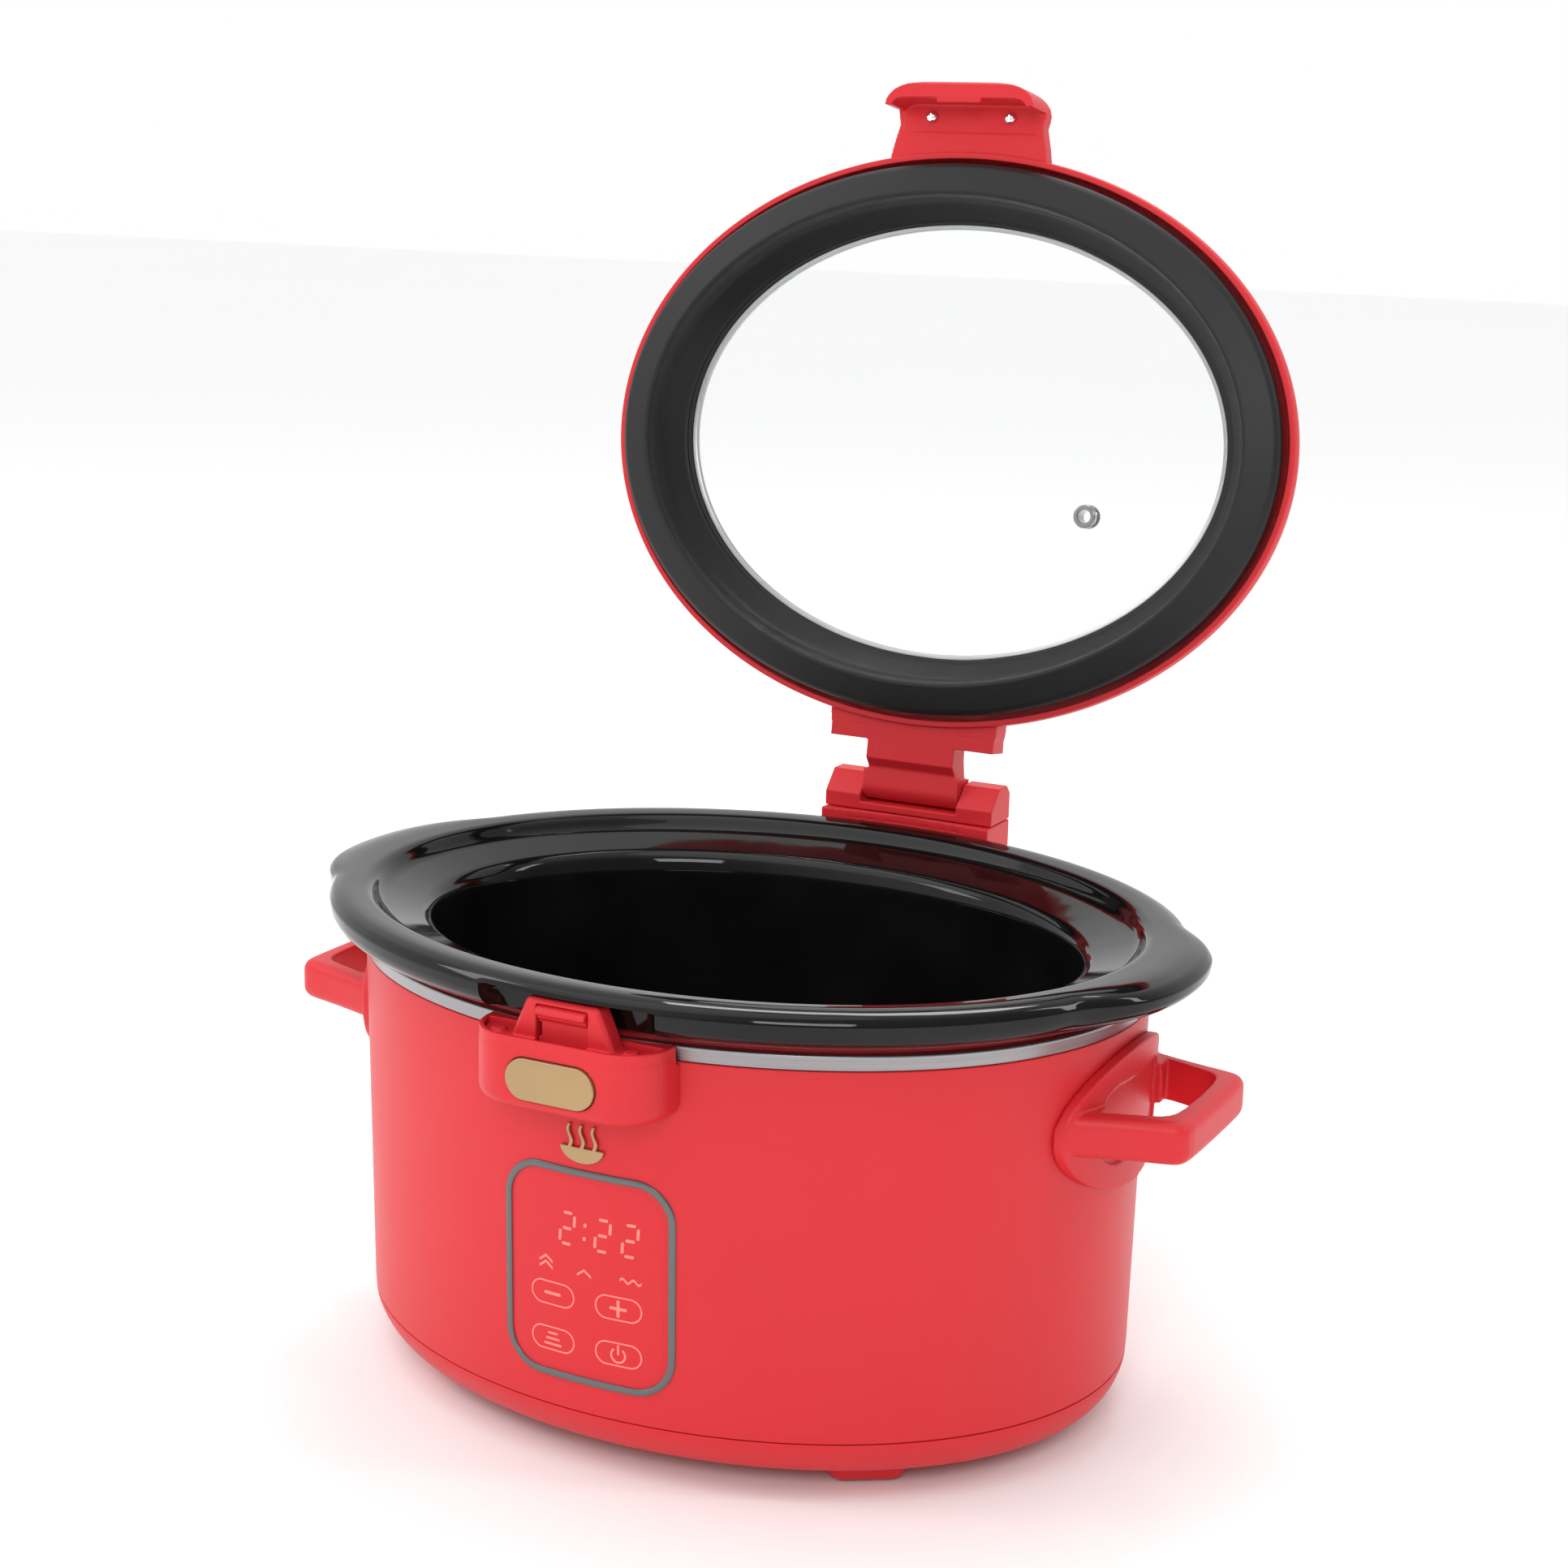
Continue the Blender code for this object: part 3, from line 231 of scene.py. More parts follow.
RED = (0.66, 0.021, 0.029)
M_RED = satin_material("red_satin_plastic", RED, 0.96, 0.44, specular=0.34)
M_RED_STEEL = satin_material("red_enamelled_steel", RED, 0.96, 0.42, 0.000015,
                             specular=0.34)
M_GLAZE = glaze_material()
M_SEAL = satin_material("black_silicone", (0.012, 0.012, 0.012), 0.8, 0.5, 0.00002,
                        specular=0.34)
M_RUBBER = satin_material("foot_rubber", (0.02, 0.02, 0.02), 0.7, 0.7, 0.00005)
M_BAND = brushed_material("brushed_band", (0.37, 0.37, 0.38), 0.34, (12.0, 12.0, 3200.0))
M_STEEL = brushed_material("glass_rim_steel", (0.46, 0.47, 0.48), 0.34, (60.0, 4000.0, 60.0))
M_ALU = brushed_material("drawn_aluminium", (0.72, 0.72, 0.73), 0.38, (30.0, 30.0, 2500.0))
M_EYELET = satin_material("dark_chrome", (0.36, 0.36, 0.37), 0.9, 0.16, 0.000004, 1.0)
M_CHROME = satin_material("chrome", (0.85, 0.85, 0.86), 0.97, 0.12, 0.000004, 1.0)
M_GOLD = satin_material("satin_gold", (0.51, 0.342, 0.174), 0.78, 0.4, 0.00004, 0.75, 1500.0)
M_GUN = satin_material("gunmetal_gloss", (0.135, 0.14, 0.14), 0.9, 0.2, 0.000004, 0.35)
M_GLASS = glass_material()
M_GLOW = glow_material()
M_BOARD = satin_material("solder_mask", (0.02, 0.13, 0.05), 0.7, 0.45, 0.00008)
M_WOOL = satin_material("glass_wool", (0.62, 0.58, 0.46), 0.6, 0.95, 0.0008, 0.0, 700.0)
M_MICA = satin_material("mica_heater", (0.4, 0.34, 0.26), 0.6, 0.55, 0.0001, 0.1, 500.0)


# ---- mesh helpers -----------------------------------------------------------

def place(obj, lid=False):
    """Take a mesh from millimetres to its place in metres, with the lid open."""
    mesh = obj.data
    matrix = Matrix.Scale(MM, 4) @ Matrix.Translation((0.0, SHIFT_Y, 0.0))
    if lid:
        axis = Matrix.Translation((0.0, HINGE[0], HINGE[1]))
        swing = Matrix.Rotation(math.radians(-OPEN_DEG), 4, "X")
        matrix = matrix @ axis @ swing @ axis.inverted()
    mesh.transform(matrix)
    mesh.update()


def smooth(obj, angle):
    """Shade smooth, keeping edges sharper than angle."""
    obj.data.polygons.foreach_set("use_smooth", [True] * len(obj.data.polygons))
    obj.data.set_sharp_from_angle(angle=math.radians(angle))


def from_bmesh(name, bm):
    """Turn a bmesh into a linked object with its faces pointing out."""
    bmesh.ops.recalc_face_normals(bm, faces=bm.faces[:])
    mesh = bpy.data.meshes.new(name)
    bm.to_mesh(mesh)
    bm.free()
    obj = bpy.data.objects.new(name, mesh)
    scene.collection.objects.link(obj)
    return obj


def finish_piece(obj, material, body, nodes=(), angle=35.0, lid=False):
    """Place a piece, shade it, hang it on its body and hide the CAD nodes that it stands in for.
    """
    place(obj, lid)
    smooth(obj, angle)
    obj.data.materials.clear()
    obj.data.materials.append(material)
    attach(obj, body)
    if nodes:
        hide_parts(*nodes)


def freeze(obj):
    """Replace an object's mesh with its mesh after modifiers."""
    graph = bpy.context.evaluated_depsgraph_get()
    mesh = bpy.data.meshes.new_from_object(obj.evaluated_get(graph))
    obj.modifiers.clear()
    obj.data = mesh


def fillet(profile, steps=4):
    """Round a profile's corners; a point is (a, b, z, radius, end tab)."""
    points = [np.array((*p, 0.0, 0.0)[:5], float) for p in profile]
    rounded = []
    count = len(points)
    for i, point in enumerate(points):
        before, after = points[i - 1], points[(i + 1) % count]
        radius = point[3]
        if radius <= 0.0:
            rounded.append(point[[0, 1, 2, 4]])
            continue
        length_in = np.linalg.norm(before[:3] - point[:3])
        length_out = np.linalg.norm(after[:3] - point[:3])
        reach_in = min(radius, length_in * 0.48) / length_in
        reach_out = min(radius, length_out * 0.48) / length_out
        start = point + (before - point) * reach_in
        end = point + (after - point) * reach_out
        for k in range(steps + 1):
            t = k / steps
            mixed = start * (1 - t) ** 2 + point * 2 * t * (1 - t) + end * t ** 2
            rounded.append(mixed[[0, 1, 2, 4]])
    return rounded


def tab_bulge(y, amount):
    """How far a lifting tab stands out from the oval at a given y."""
    share = abs(y) / TAB_HALF_WIDTH
    if share >= 1.0:
        return 0.0
    return amount * (1.0 - share ** 5) ** 2


def join_rings(bm, rings, closed=False):
    """Fill between neighbouring rings, and either close the loop or cap both ends."""
    pairs = list(zip(rings, rings[1:]))
    if closed:
        pairs.append((rings[-1], rings[0]))
    for low, high in pairs:
        count = len(low)
        for i in range(count):
            j = (i + 1) % count
            bm.faces.new((low[i], low[j], high[j], high[i]))
    if not closed:
        bm.faces.new(rings[0])
        bm.faces.new(rings[-1])


def oval(name, profile, closed=True, segments=RING, centre=(0.0, 0.0)):
    """Oval solid from a profile of (half width, half depth, z, end tab)."""
    bm = bmesh.new()
    rings = []
    for a, b, z, tab in profile:
        ring = []
        for i in range(segments):
            t = 2.0 * math.pi * i / segments
            x, y = a * math.cos(t), b * math.sin(t)
            x += math.copysign(tab_bulge(y, tab), x)
            ring.append(bm.verts.new((centre[0] + x, centre[1] + y, z)))
        rings.append(ring)
    join_rings(bm, rings, closed)
    return from_bmesh(name, bm)


def turned(name, profile, segments=48, centre=(0.0, 0.0), closed=False):
    """Round solid from a profile of (radius, z, corner radius)."""
    points = fillet([(radius, radius, z, corner) for radius, z, corner in profile], 3)
    return oval(name, points, closed, segments, centre)


def lay(obj, axis, centre):
    """Lay an upright turned solid along X or Y and move it to its centre."""
    turn = Matrix.Rotation(math.radians(90 if axis == "X" else -90), 4,
                           "Y" if axis == "X" else "X")
    obj.data.transform(Matrix.Translation(centre) @ turn)
    return obj


def cross_rod(name, radius, half_length, spot, corner=0.0, segments=24):
    """Rod along X through a spot given as (y, z)."""
    profile = [(radius, -half_length, corner), (radius, half_length, corner)]
    return lay(turned(name, profile, segments), "X", (0.0, *spot))


def prism(name, outline, axis, start, end):
    """Straight solid of the given outline along one axis."""
    bm = bmesh.new()
    verts = []
    for u, v in outline:
        spot = {"X": (start, u, v), "Y": (u, start, v), "Z": (u, v, start)}[axis]
        verts.append(bm.verts.new(spot))
    face = bm.faces.new(verts)
    grown = bmesh.ops.extrude_face_region(bm, geom=[face])
    moved = [g for g in grown["geom"] if isinstance(g, bmesh.types.BMVert)]
    step = Vector({"X": (1, 0, 0), "Y": (0, 1, 0), "Z": (0, 0, 1)}[axis])
    bmesh.ops.translate(bm, vec=step * (end - start), verts=moved)
    return from_bmesh(name, bm)


def block(name, low, high):
    """Box between two corners."""
    outline = [(low[0], low[1]), (high[0], low[1]), (high[0], high[1]), (low[0], high[1])]
    return prism(name, outline, "Z", low[2], high[2])


def combine(obj, other, operation="DIFFERENCE"):
    """Apply one exact Boolean and drop the other object."""
    mod = obj.modifiers.new("join", "BOOLEAN")
    mod.operation = operation
    mod.solver = "EXACT"
    mod.object = other
    freeze(obj)
    bpy.data.objects.remove(other, do_unlink=True)


def bevel(obj, width, segments, angle=50.0):
    """Round every edge sharper than angle."""
    mod = obj.modifiers.new("edge", "BEVEL")
    mod.width = width
    mod.segments = segments
    mod.limit_method = "ANGLE"
    mod.angle_limit = math.radians(angle)
    freeze(obj)


def soften(obj, voxel, passes):
    """Rebuild a joined solid as one even skin with rounded edges."""
    mod = obj.modifiers.new("skin", "REMESH")
    mod.mode = "VOXEL"
    mod.voxel_size = voxel
    relax = obj.modifiers.new("relax", "SMOOTH")
    relax.factor = 0.5
    relax.iterations = passes
    freeze(obj)


def mirrored(half):
    """Whole outline from its right half, front or back last."""
    return half + [(-x, y) for x, y in reversed(half)]


def arc(centre, radii, start, end, steps):
    """Points along part of an ellipse, in degrees, both ends included."""
    points = []
    for k in range(steps + 1):
        t = math.radians(start + (end - start) * k / steps)
        points.append((centre[0] + radii[0] * math.cos(t), centre[1] + radii[1] * math.sin(t)))
    return points


def rounded_rectangle(cx, cy, width, height, radius, steps=12):
    """Outline with four equal corners of steps each."""
    points = []
    for sx, sy, base in ((1, 1, 0), (-1, 1, 90), (-1, -1, 180), (1, -1, 270)):
        corner = (cx + sx * (width / 2.0 - radius), cy + sy * (height / 2.0 - radius))
        points += arc(corner, (radius, radius), base, base + 90.0, steps)
    return points


def wall(z, offset=0.0):
    """Half width and half depth of the outer wall at a height, and the height."""
    share = (z - WALL_LOW[2]) / (WALL_TOP[2] - WALL_LOW[2])
    a = WALL_LOW[0] + share * (WALL_TOP[0] - WALL_LOW[0]) + offset
    b = WALL_LOW[1] + share * (WALL_TOP[1] - WALL_LOW[1]) + offset
    return a, b, z


def band(name, inner, outer):
    """Band round the wall at the handles' height, between two offsets from the wall."""
    low, high = 108.0, 183.0
    points = [wall(low, inner), wall(low, outer), wall(high, outer), wall(high, inner)]
    return oval(name, fillet(points), True, CUTTER_RING)


def wrap_on_wall(obj):
    """Bend a flat shape onto the front wall; its depth becomes height above the wall."""
    for vert in obj.data.vertices:
        x, depth, z = vert.co
        a, b, _ = wall(z)
        vert.co.y = -b * math.sqrt(1.0 - (x / a) ** 2) - depth
    return obj


def clearance():
    """Space taken up by the wall, the rim band and the pot's rim."""
    points = [wall(100.0, 0.3), wall(183.0, 0.3), (179.2, 142.4, 183.0), (179.2, 142.4, 191.6),
              (184.0, 147.6, 192.8), (190.0, 153.6, 195.0), (194.6, 158.4, 200.0),
              (194.6, 158.4, 260.0)]
    return oval("clearance", fillet(points), False, CUTTER_RING)


# ---- cooker body ------------------------------------------------------------

def build_housing():
    """Outer wall with the shoulder that carries the rim band."""
    points = [
        (174.1, 136.8, 26.9, 0.5), (*wall(30.0), 0.0), (*wall(70.0), 0.0), (*wall(130.0), 0.0),
        (*wall(183.4), 0.6), (174.9, 137.9, 183.6), (174.9, 137.9, 194.2, 0.0),
        (174.2, 137.2, 195.0, 0.8), (163.9, 126.7, 195.0, 0.8), (163.9, 126.7, 193.5),
        (173.3, 136.3, 193.5), (173.3, 136.3, 182.1), (*wall(180.0, -1.5), 0.0),
        (*wall(26.9, -1.5), 0.3),
    ]
    finish_piece(oval("housing_shell", fillet(points)), M_RED_STEEL, "base", ["outer_housing"],
                 angle=50)


def build_base_pan():
    """Curved foot of the body, with a row of vent slots underneath."""
    points = [
        (155.0, 114.5, 7.2), (160.9, 120.5, 7.9, 3.0), (167.0, 127.5, 11.2, 4.0),
        (171.6, 133.0, 17.0, 4.0), (174.0, 136.3, 23.5, 3.0), (174.2, 136.7, 26.4, 0.4),
        (172.4, 134.9, 26.4), (172.4, 134.9, 31.9), (170.6, 133.1, 31.9),
        (170.4, 132.6, 21.0, 2.0), (165.0, 126.0, 13.6, 2.0), (158.0, 118.0, 9.8),
    ]
    pan = oval("base_shell", fillet(points), False)
    for index in range(12):
        outline = rounded_rectangle(-42.0 + index * 9.0, -46.0, 4.0, 32.0, 1.9, 4)
        slot = prism("vent_slot", outline, "Z", 0.0, 20.0)
        combine(pan, slot)
    finish_piece(pan, M_RED, "base", ["base_pan"], angle=40)


def build_rim_band():
    points = [
        (175.2, 138.2, 183.9, 0.2), (176.7, 139.8, 183.9, 0.5), (177.8, 141.0, 187.6, 1.5),
        (178.7, 141.9, 190.0, 0.8), (178.0, 141.2, 190.8, 0.4), (175.2, 138.2, 190.8, 0.2),
    ]
    finish_piece(oval("rim_band", fillet(points)), M_BAND, "base", ["metal_rim_band"], angle=60)


def build_feet():
    """Four feet, turned to follow the oval, each with a rubber pad."""
    for label, sx, sy in (("front_left", -1, -1), ("front_right", 1, -1),
                          ("rear_left", -1, 1), ("rear_right", 1, 1)):
        cx, cy = sx * FEET_X, sy * FEET_Y
        turn = math.radians(-FEET_TURN_DEG * sx * sy)
        bm = bmesh.new()
        rings = []
        # Width, depth, corner radius and height, from the ground up.
        levels = ((26.6, 19.6, 4.4, 0.8), (28.6, 21.6, 5.2, 1.0), (30.4, 23.4, 6.0, 1.7),
                  (32.2, 25.2, 7.0, 3.0), (33.6, 26.6, 7.6, 4.8), (34.5, 27.5, 8.0, 7.0))
        for width, depth, radius, z in levels:
            ring = []
            for x, y in rounded_rectangle(0.0, 0.0, width, depth, radius, 8):
                ring.append(bm.verts.new((cx + x * math.cos(turn) - y * math.sin(turn),
                                          cy + x * math.sin(turn) + y * math.cos(turn), z)))
            rings.append(ring)
        join_rings(bm, rings)
        shoe = from_bmesh(f"shoe_{label}", bm)
        hole = [(PAD_RADIUS + 0.3, -1.0, 0), (PAD_RADIUS + 0.3, 2.8, 0)]
        combine(shoe, turned("hole", hole, 40, (cx, cy)))
        finish_piece(shoe, M_RED, "base", [f"foot_{label}"], angle=40)
        profile = [(7.2, 0.0, 0.5), (PAD_RADIUS, 0.6, 0.4), (PAD_RADIUS, 2.5, 0.2)]
        pad = turned(f"pad_{label}", profile, 40, (cx, cy))
        finish_piece(pad, M_RUBBER, "base", [f"foot_pad_{label}"])


# ---- panel and badge --------------------------------------------------------

def outline_band(name, outline, inset_outline, depth_low, depth_high, lip):
    """Raised frame between two outlines of equal count, with rolled edges."""
    bm = bmesh.new()
    outer = np.array(outline)
    inner = np.array(inset_outline)
    steps = [(0.0, depth_low), (0.0, depth_high - lip), (0.04, depth_high - lip * 0.35),
             (0.14, depth_high), (0.5, depth_high + 0.06), (0.86, depth_high),
             (0.96, depth_high - lip * 0.35), (1.0, depth_high - lip), (1.0, depth_low)]
    rings = []
    for share, depth in steps:
        mixed = outer * (1 - share) + inner * share
        rings.append([bm.verts.new((x, depth, z)) for x, z in mixed])
    join_rings(bm, rings, True)
    return from_bmesh(name, bm)


def divided(outline, parts_of):
    """Split each side of an outline; parts_of gives the count from index and length."""
    points = []
    for i, ((x0, y0), (x1, y1)) in enumerate(zip(outline, outline[1:] + outline[:1])):
        parts = parts_of(i, math.hypot(x1 - x0, y1 - y0))
        for k in range(parts):
            points.append((x0 + (x1 - x0) * k / parts, y0 + (y1 - y0) * k / parts))
    return points


def panel_outline(inset):
    """Panel's outline; its four long sides are split so that they can bend."""
    outline = rounded_rectangle(*PANEL_CENTRE, PANEL_SIZE[0] - 2 * inset,
                                PANEL_SIZE[1] - 2 * inset, PANEL_RADIUS - inset,
                                PANEL_CORNER_STEPS)
    per_corner = PANEL_CORNER_STEPS + 1
    return divided(outline, lambda i, length: 24 if (i + 1) % per_corner == 0 else 1)


def bar(cx, cz, width, height, slant=0.0):
    """Bar with rounded corners, leaning like the digits when slant is given."""
    radius = min(width, height) * 0.42
    outline = rounded_rectangle(cx, cz, width, height, radius, 3)
    return [(x + slant * (z - DIGIT_Z), z) for x, z in outline]


def glow(name, outline):
    """Thin raised mark of the given (x, z) outline, lying on the panel."""
    outline = divided(outline, lambda i, length: max(1, int(length / 1.2)))
    mark = wrap_on_wall(prism(name, outline, "Y", 0.1, 0.32))
    finish_piece(mark, M_GLOW, "base", angle=60)


def seven_segment(name, cx, segments):
    """One digit, as the named bars of seven."""
    width, height = DIGIT_SIZE
    thick = 1.25
    low, mid, high = DIGIT_Z - height / 2, DIGIT_Z, DIGIT_Z + height / 2
    left, right = cx - width / 2, cx + width / 2
    spots = {
        "top": (cx, high, width - 2.4, thick), "middle": (cx, mid, width - 2.4, thick),
        "bottom": (cx, low, width - 2.4, thick),
        "upper_left": (left, (mid + high) / 2, thick, height / 2 - 1.9),
        "upper_right": (right, (mid + high) / 2, thick, height / 2 - 1.9),
        "lower_left": (left, (low + mid) / 2, thick, height / 2 - 1.9),
        "lower_right": (right, (low + mid) / 2, thick, height / 2 - 1.9),
    }
    for part in segments:
        glow(f"{name}_{part}", bar(*spots[part], slant=DIGIT_SLANT))


def pill_key(name, cx, cz):
    """Outline of one touch key."""
    width, height, line = 21.0, 10.4, 0.62
    outer = rounded_rectangle(cx, cz, width, height, height / 2 - 0.01, 12)
    inner = rounded_rectangle(cx, cz, width - 2 * line, height - 2 * line,
                              height / 2 - line - 0.01, 12)
    obj = wrap_on_wall(outline_band(name, outer, inner, 0.05, 0.3, 0.1))
    finish_piece(obj, M_GLOW, "base", angle=60)


def build_bezel():
    ring = outline_band("bezel_ring", panel_outline(0.0), panel_outline(BEZEL_WIDTH),
                        -2.6, 0.85, 0.55)
    finish_piece(wrap_on_wall(ring), M_GUN, "base", ["panel_bezel"], angle=60)


def build_touch_face():
    """Sheet inside the bezel, as rings that shrink to its centre, on a back sheet."""
    outline = np.array(panel_outline(BEZEL_WIDTH + 0.15))
    centre = np.array(PANEL_CENTRE)
    bm = bmesh.new()
    rings = [[bm.verts.new((x, -2.0, z)) for x, z in outline]]
    for share in np.linspace(1.0, 0.0, 25)[:-1]:
        depth = 0.12 if share < 1.0 else -0.4
        points = centre + (outline - centre) * share
        rings.append([bm.verts.new((x, depth, z)) for x, z in points])
    join_rings(bm, rings)
    face = wrap_on_wall(from_bmesh("touch_face", bm))
    finish_piece(face, M_RED, "base", ["panel_face"], angle=50)


def build_display():
    """Time shown on the panel: three digits and a colon."""
    two = ("top", "upper_right", "middle", "lower_left", "bottom")
    for label, x in (("hours", -7.0), ("tens", 9.4), ("units", 21.6)):
        seven_segment(f"digit_{label}", x, two)
    for label, z in (("low", 102.8), ("high", 108.6)):
        glow(f"colon_{label}", bar(1.2, z, 1.4, 1.7, DIGIT_SLANT))


def chevron(cx, z):
    """Small upward arrow without a stem."""
    top = [(cx - 3.2, z), (cx, z + 2.4), (cx + 3.2, z)]
    return top + [(x, z - 1.1) for x, z in reversed(top)]


def build_marks():
    """Heat marks under the digits: two chevrons, one chevron and a wave."""
    for k in range(2):
        glow(f"mark_high_{k}", chevron(-17.4, MARK_Z + k * 2.6))
    glow("mark_low", chevron(0.8, MARK_Z))
    wave_top = [(17.0 + i * 0.6, 88.9 + 0.9 * math.sin(i * math.pi / 4.0)) for i in range(17)]
    glow("mark_warm", wave_top + [(x, z - 1.0) for x, z in reversed(wave_top)])


def build_keys():
    """Four touch keys and the sign on each."""
    left, right = KEY_X
    upper, lower = KEY_Z
    for label, x, z in (("minus", left, upper), ("plus", right, upper),
                        ("mode", left, lower), ("power", right, lower)):
        pill_key(f"key_{label}", x, z)
    glow("sign_minus", bar(left, upper, 8.0, 1.25))
    glow("sign_plus_bar", bar(right, upper, 7.6, 1.25))
    glow("sign_plus_stem", bar(right, upper, 1.25, 7.4))
    for k in range(3):
        glow(f"sign_mode_{k}", bar(left, lower - 2.4 + 2.4 * k, 8.4 - 1.8 * k, 0.9))
    centre = (right, lower - 0.3)
    outside = arc(centre, (3.5, 3.5), 128.0, 412.0, 28)
    inside = arc(centre, (2.7, 2.7), 128.0, 412.0, 28)
    glow("sign_power_arc", outside + inside[::-1])
    glow("sign_power_stem", bar(right, lower + 2.0, 0.85, 4.4))


def build_badge():
    """Gold badge: a small bowl with three wisps of steam."""
    cx, cz = BADGE
    points = arc(BADGE, (9.9, 6.5), 180.0, 360.0, 24)
    for wisp in (5.6, 0.0, -5.6):
        right, left = [], []
        for i in range(21):
            z = cz + 9.7 * i / 20
            width = 0.85 * (1.0 - 0.35 * i / 20)
            middle = cx + wisp + 0.8 * math.sin(i * math.pi / 10.0)
            right.append((middle + width, z))
            left.append((middle - width, z))
        points += right + left[::-1]
    badge = prism("badge", points, "Y", 0.3, 1.5)
    bevel(badge, 0.28, 3)
    wrap_on_wall(badge)
    finish_piece(badge, M_GOLD, "base", ["emblem"], angle=40)


# ---- latch ------------------------------------------------------------------

def latch_outline(inset, back=None, front=None):
    """Plan of the latch, rounded at the front, kept between back and front if given."""
    half, face, radius = 42.0 - inset, -163.0 + inset, 20.0 - inset
    corner = arc((half - radius, face + radius), (radius, radius), 0.0, -90.0, 12)
    outline = mirrored([(half, -118.0 - inset)] + corner)
    if back is not None:
        outline = [(x, max(min(y, back), front)) for x, y in outline]
    return outline


def build_latch_housing():
    """Housing on the front wall: open pocket on top, chamber and button slot in front."""
    shell = prism("latch_shell", latch_outline(0.0), "Z", LATCH_LOW_Z, LATCH_TOP_Z)
    bevel(shell, 6.0, 6)
    combine(shell, block("trim", (-60, -180, LATCH_TOP_Z - 1.6), (60, -100, 200)))
    top = prism("latch_top", latch_outline(0.25), "Z", 185.0, LATCH_TOP_Z - 0.1)
    combine(shell, top, "UNION")
    combine(shell, clearance())
    combine(shell, prism("pocket", latch_outline(2.4, -144.5, -160.6), "Z", 187.0, 196.0))
    combine(shell, block("chamber", (-24.5, -159.4, 163.6), (24.5, -145.0, 188.0)))
    width, height = (size + 0.7 for size in BUTTON_SIZE)
    slot = rounded_rectangle(0.0, BUTTON_Z, width, height, height / 2.0 - 0.01, 16)
    combine(shell, prism("slot", slot, "Y", -170.0, -157.0))
    soften(shell, 0.42, 4)
    finish_piece(shell, M_RED, "base", ["latch_housing"], angle=80)


def build_latch_tower():
    """Plate with two pegs, and the tab whose window holds the hook."""
    tower = prism("latch_plate", latch_outline(2.8, -144.8, -160.2), "Z", 186.9, 189.0)
    tab = prism("tab", [(-24.0, 187.5), (24.0, 187.5), (16.6, 204.4), (15.2, 205.5),
                        (-15.2, 205.5), (-16.6, 204.4)], "Y", -155.0, -145.2)
    bevel(tab, 1.5, 1, 60.0)
    combine(tower, tab, "UNION")
    for side in (1, -1):
        peg = turned("peg", [(3.1, 187.5, 0), (3.1, LATCH_TOP_Z, 0.7)], 32,
                     (side * PEG_X, -152.6))
        combine(tower, peg, "UNION")
        near, far = sorted((side * 12.6, side * 16.0))
        combine(tower, block("lug", (near, -155.4, 164.4), (far, -148.4, 188.0)), "UNION")
    reach = CATCH_HALF_WIDTH + 0.6
    combine(tower, block("window", (-reach, -160.0, 184.0), (reach, -147.0, 203.4)))
    combine(tower, cross_rod("bore", 1.5, 20.0, PAWL_PIVOT))
    soften(tower, 0.36, 3)
    finish_piece(tower, M_RED, "base", ["latch_tower"], angle=80)


def build_pawl():
    """Hook on its pin; the nose points forward at the top."""
    profile = [
        (-153.2, 171.5), (-154.6, 170.0), (-154.6, 166.0), (-153.0, 165.2), (-150.6, 165.2),
        (-149.4, 166.4), (-149.4, 170.2), (-151.0, 172.5), (-151.0, 201.2), (-151.8, 202.6),
        (-153.4, 203.0), (-155.4, 202.4), (-156.6, 201.4), (-157.0, 200.3), (-156.6, 199.5),
        (-155.2, 199.3), (-154.9, 197.8), (-153.4, 196.6),
    ]
    pawl = prism("latch_hook", profile, "X", -CATCH_HALF_WIDTH - 0.1, CATCH_HALF_WIDTH + 0.1)
    combine(pawl, block("nick", (-11.6, -158.0, 190.0), (-9.9, -148.0, 195.9)))
    combine(pawl, cross_rod("bore", 1.5, 20.0, PAWL_PIVOT))
    soften(pawl, 0.3, 3)
    finish_piece(pawl, M_RED, "latch_pawl", ["latch_pawl"], angle=80)
    pin = cross_rod("hook_pin", 1.2, 17.5, PAWL_PIVOT, 0.3)
    finish_piece(pin, M_CHROME, "base", ["pawl_pin"])


def build_button():
    """Gold face, the flange that keeps it in the housing, and the rib behind it."""
    width, height = BUTTON_SIZE
    face = rounded_rectangle(0.0, BUTTON_Z, width, height, height / 2.0 - 0.01, 20)
    button = prism("gold_button", face, "Y", BUTTON_FACE_Y, -158.0)
    bevel(button, 0.7, 3)
    rim = rounded_rectangle(0.0, BUTTON_Z, width + 3.0, height + 3.4, 9.0)
    flange = prism("flange", rim, "Y", -159.0, -157.2)
    combine(button, flange, "UNION")
    combine(button, block("push", (-4.0, -157.6, 178.0), (4.0, -154.3, 182.0)), "UNION")
    finish_piece(button, M_GOLD, "latch_button", ["latch_button"], angle=32)


# ---- side handles -----------------------------------------------------------

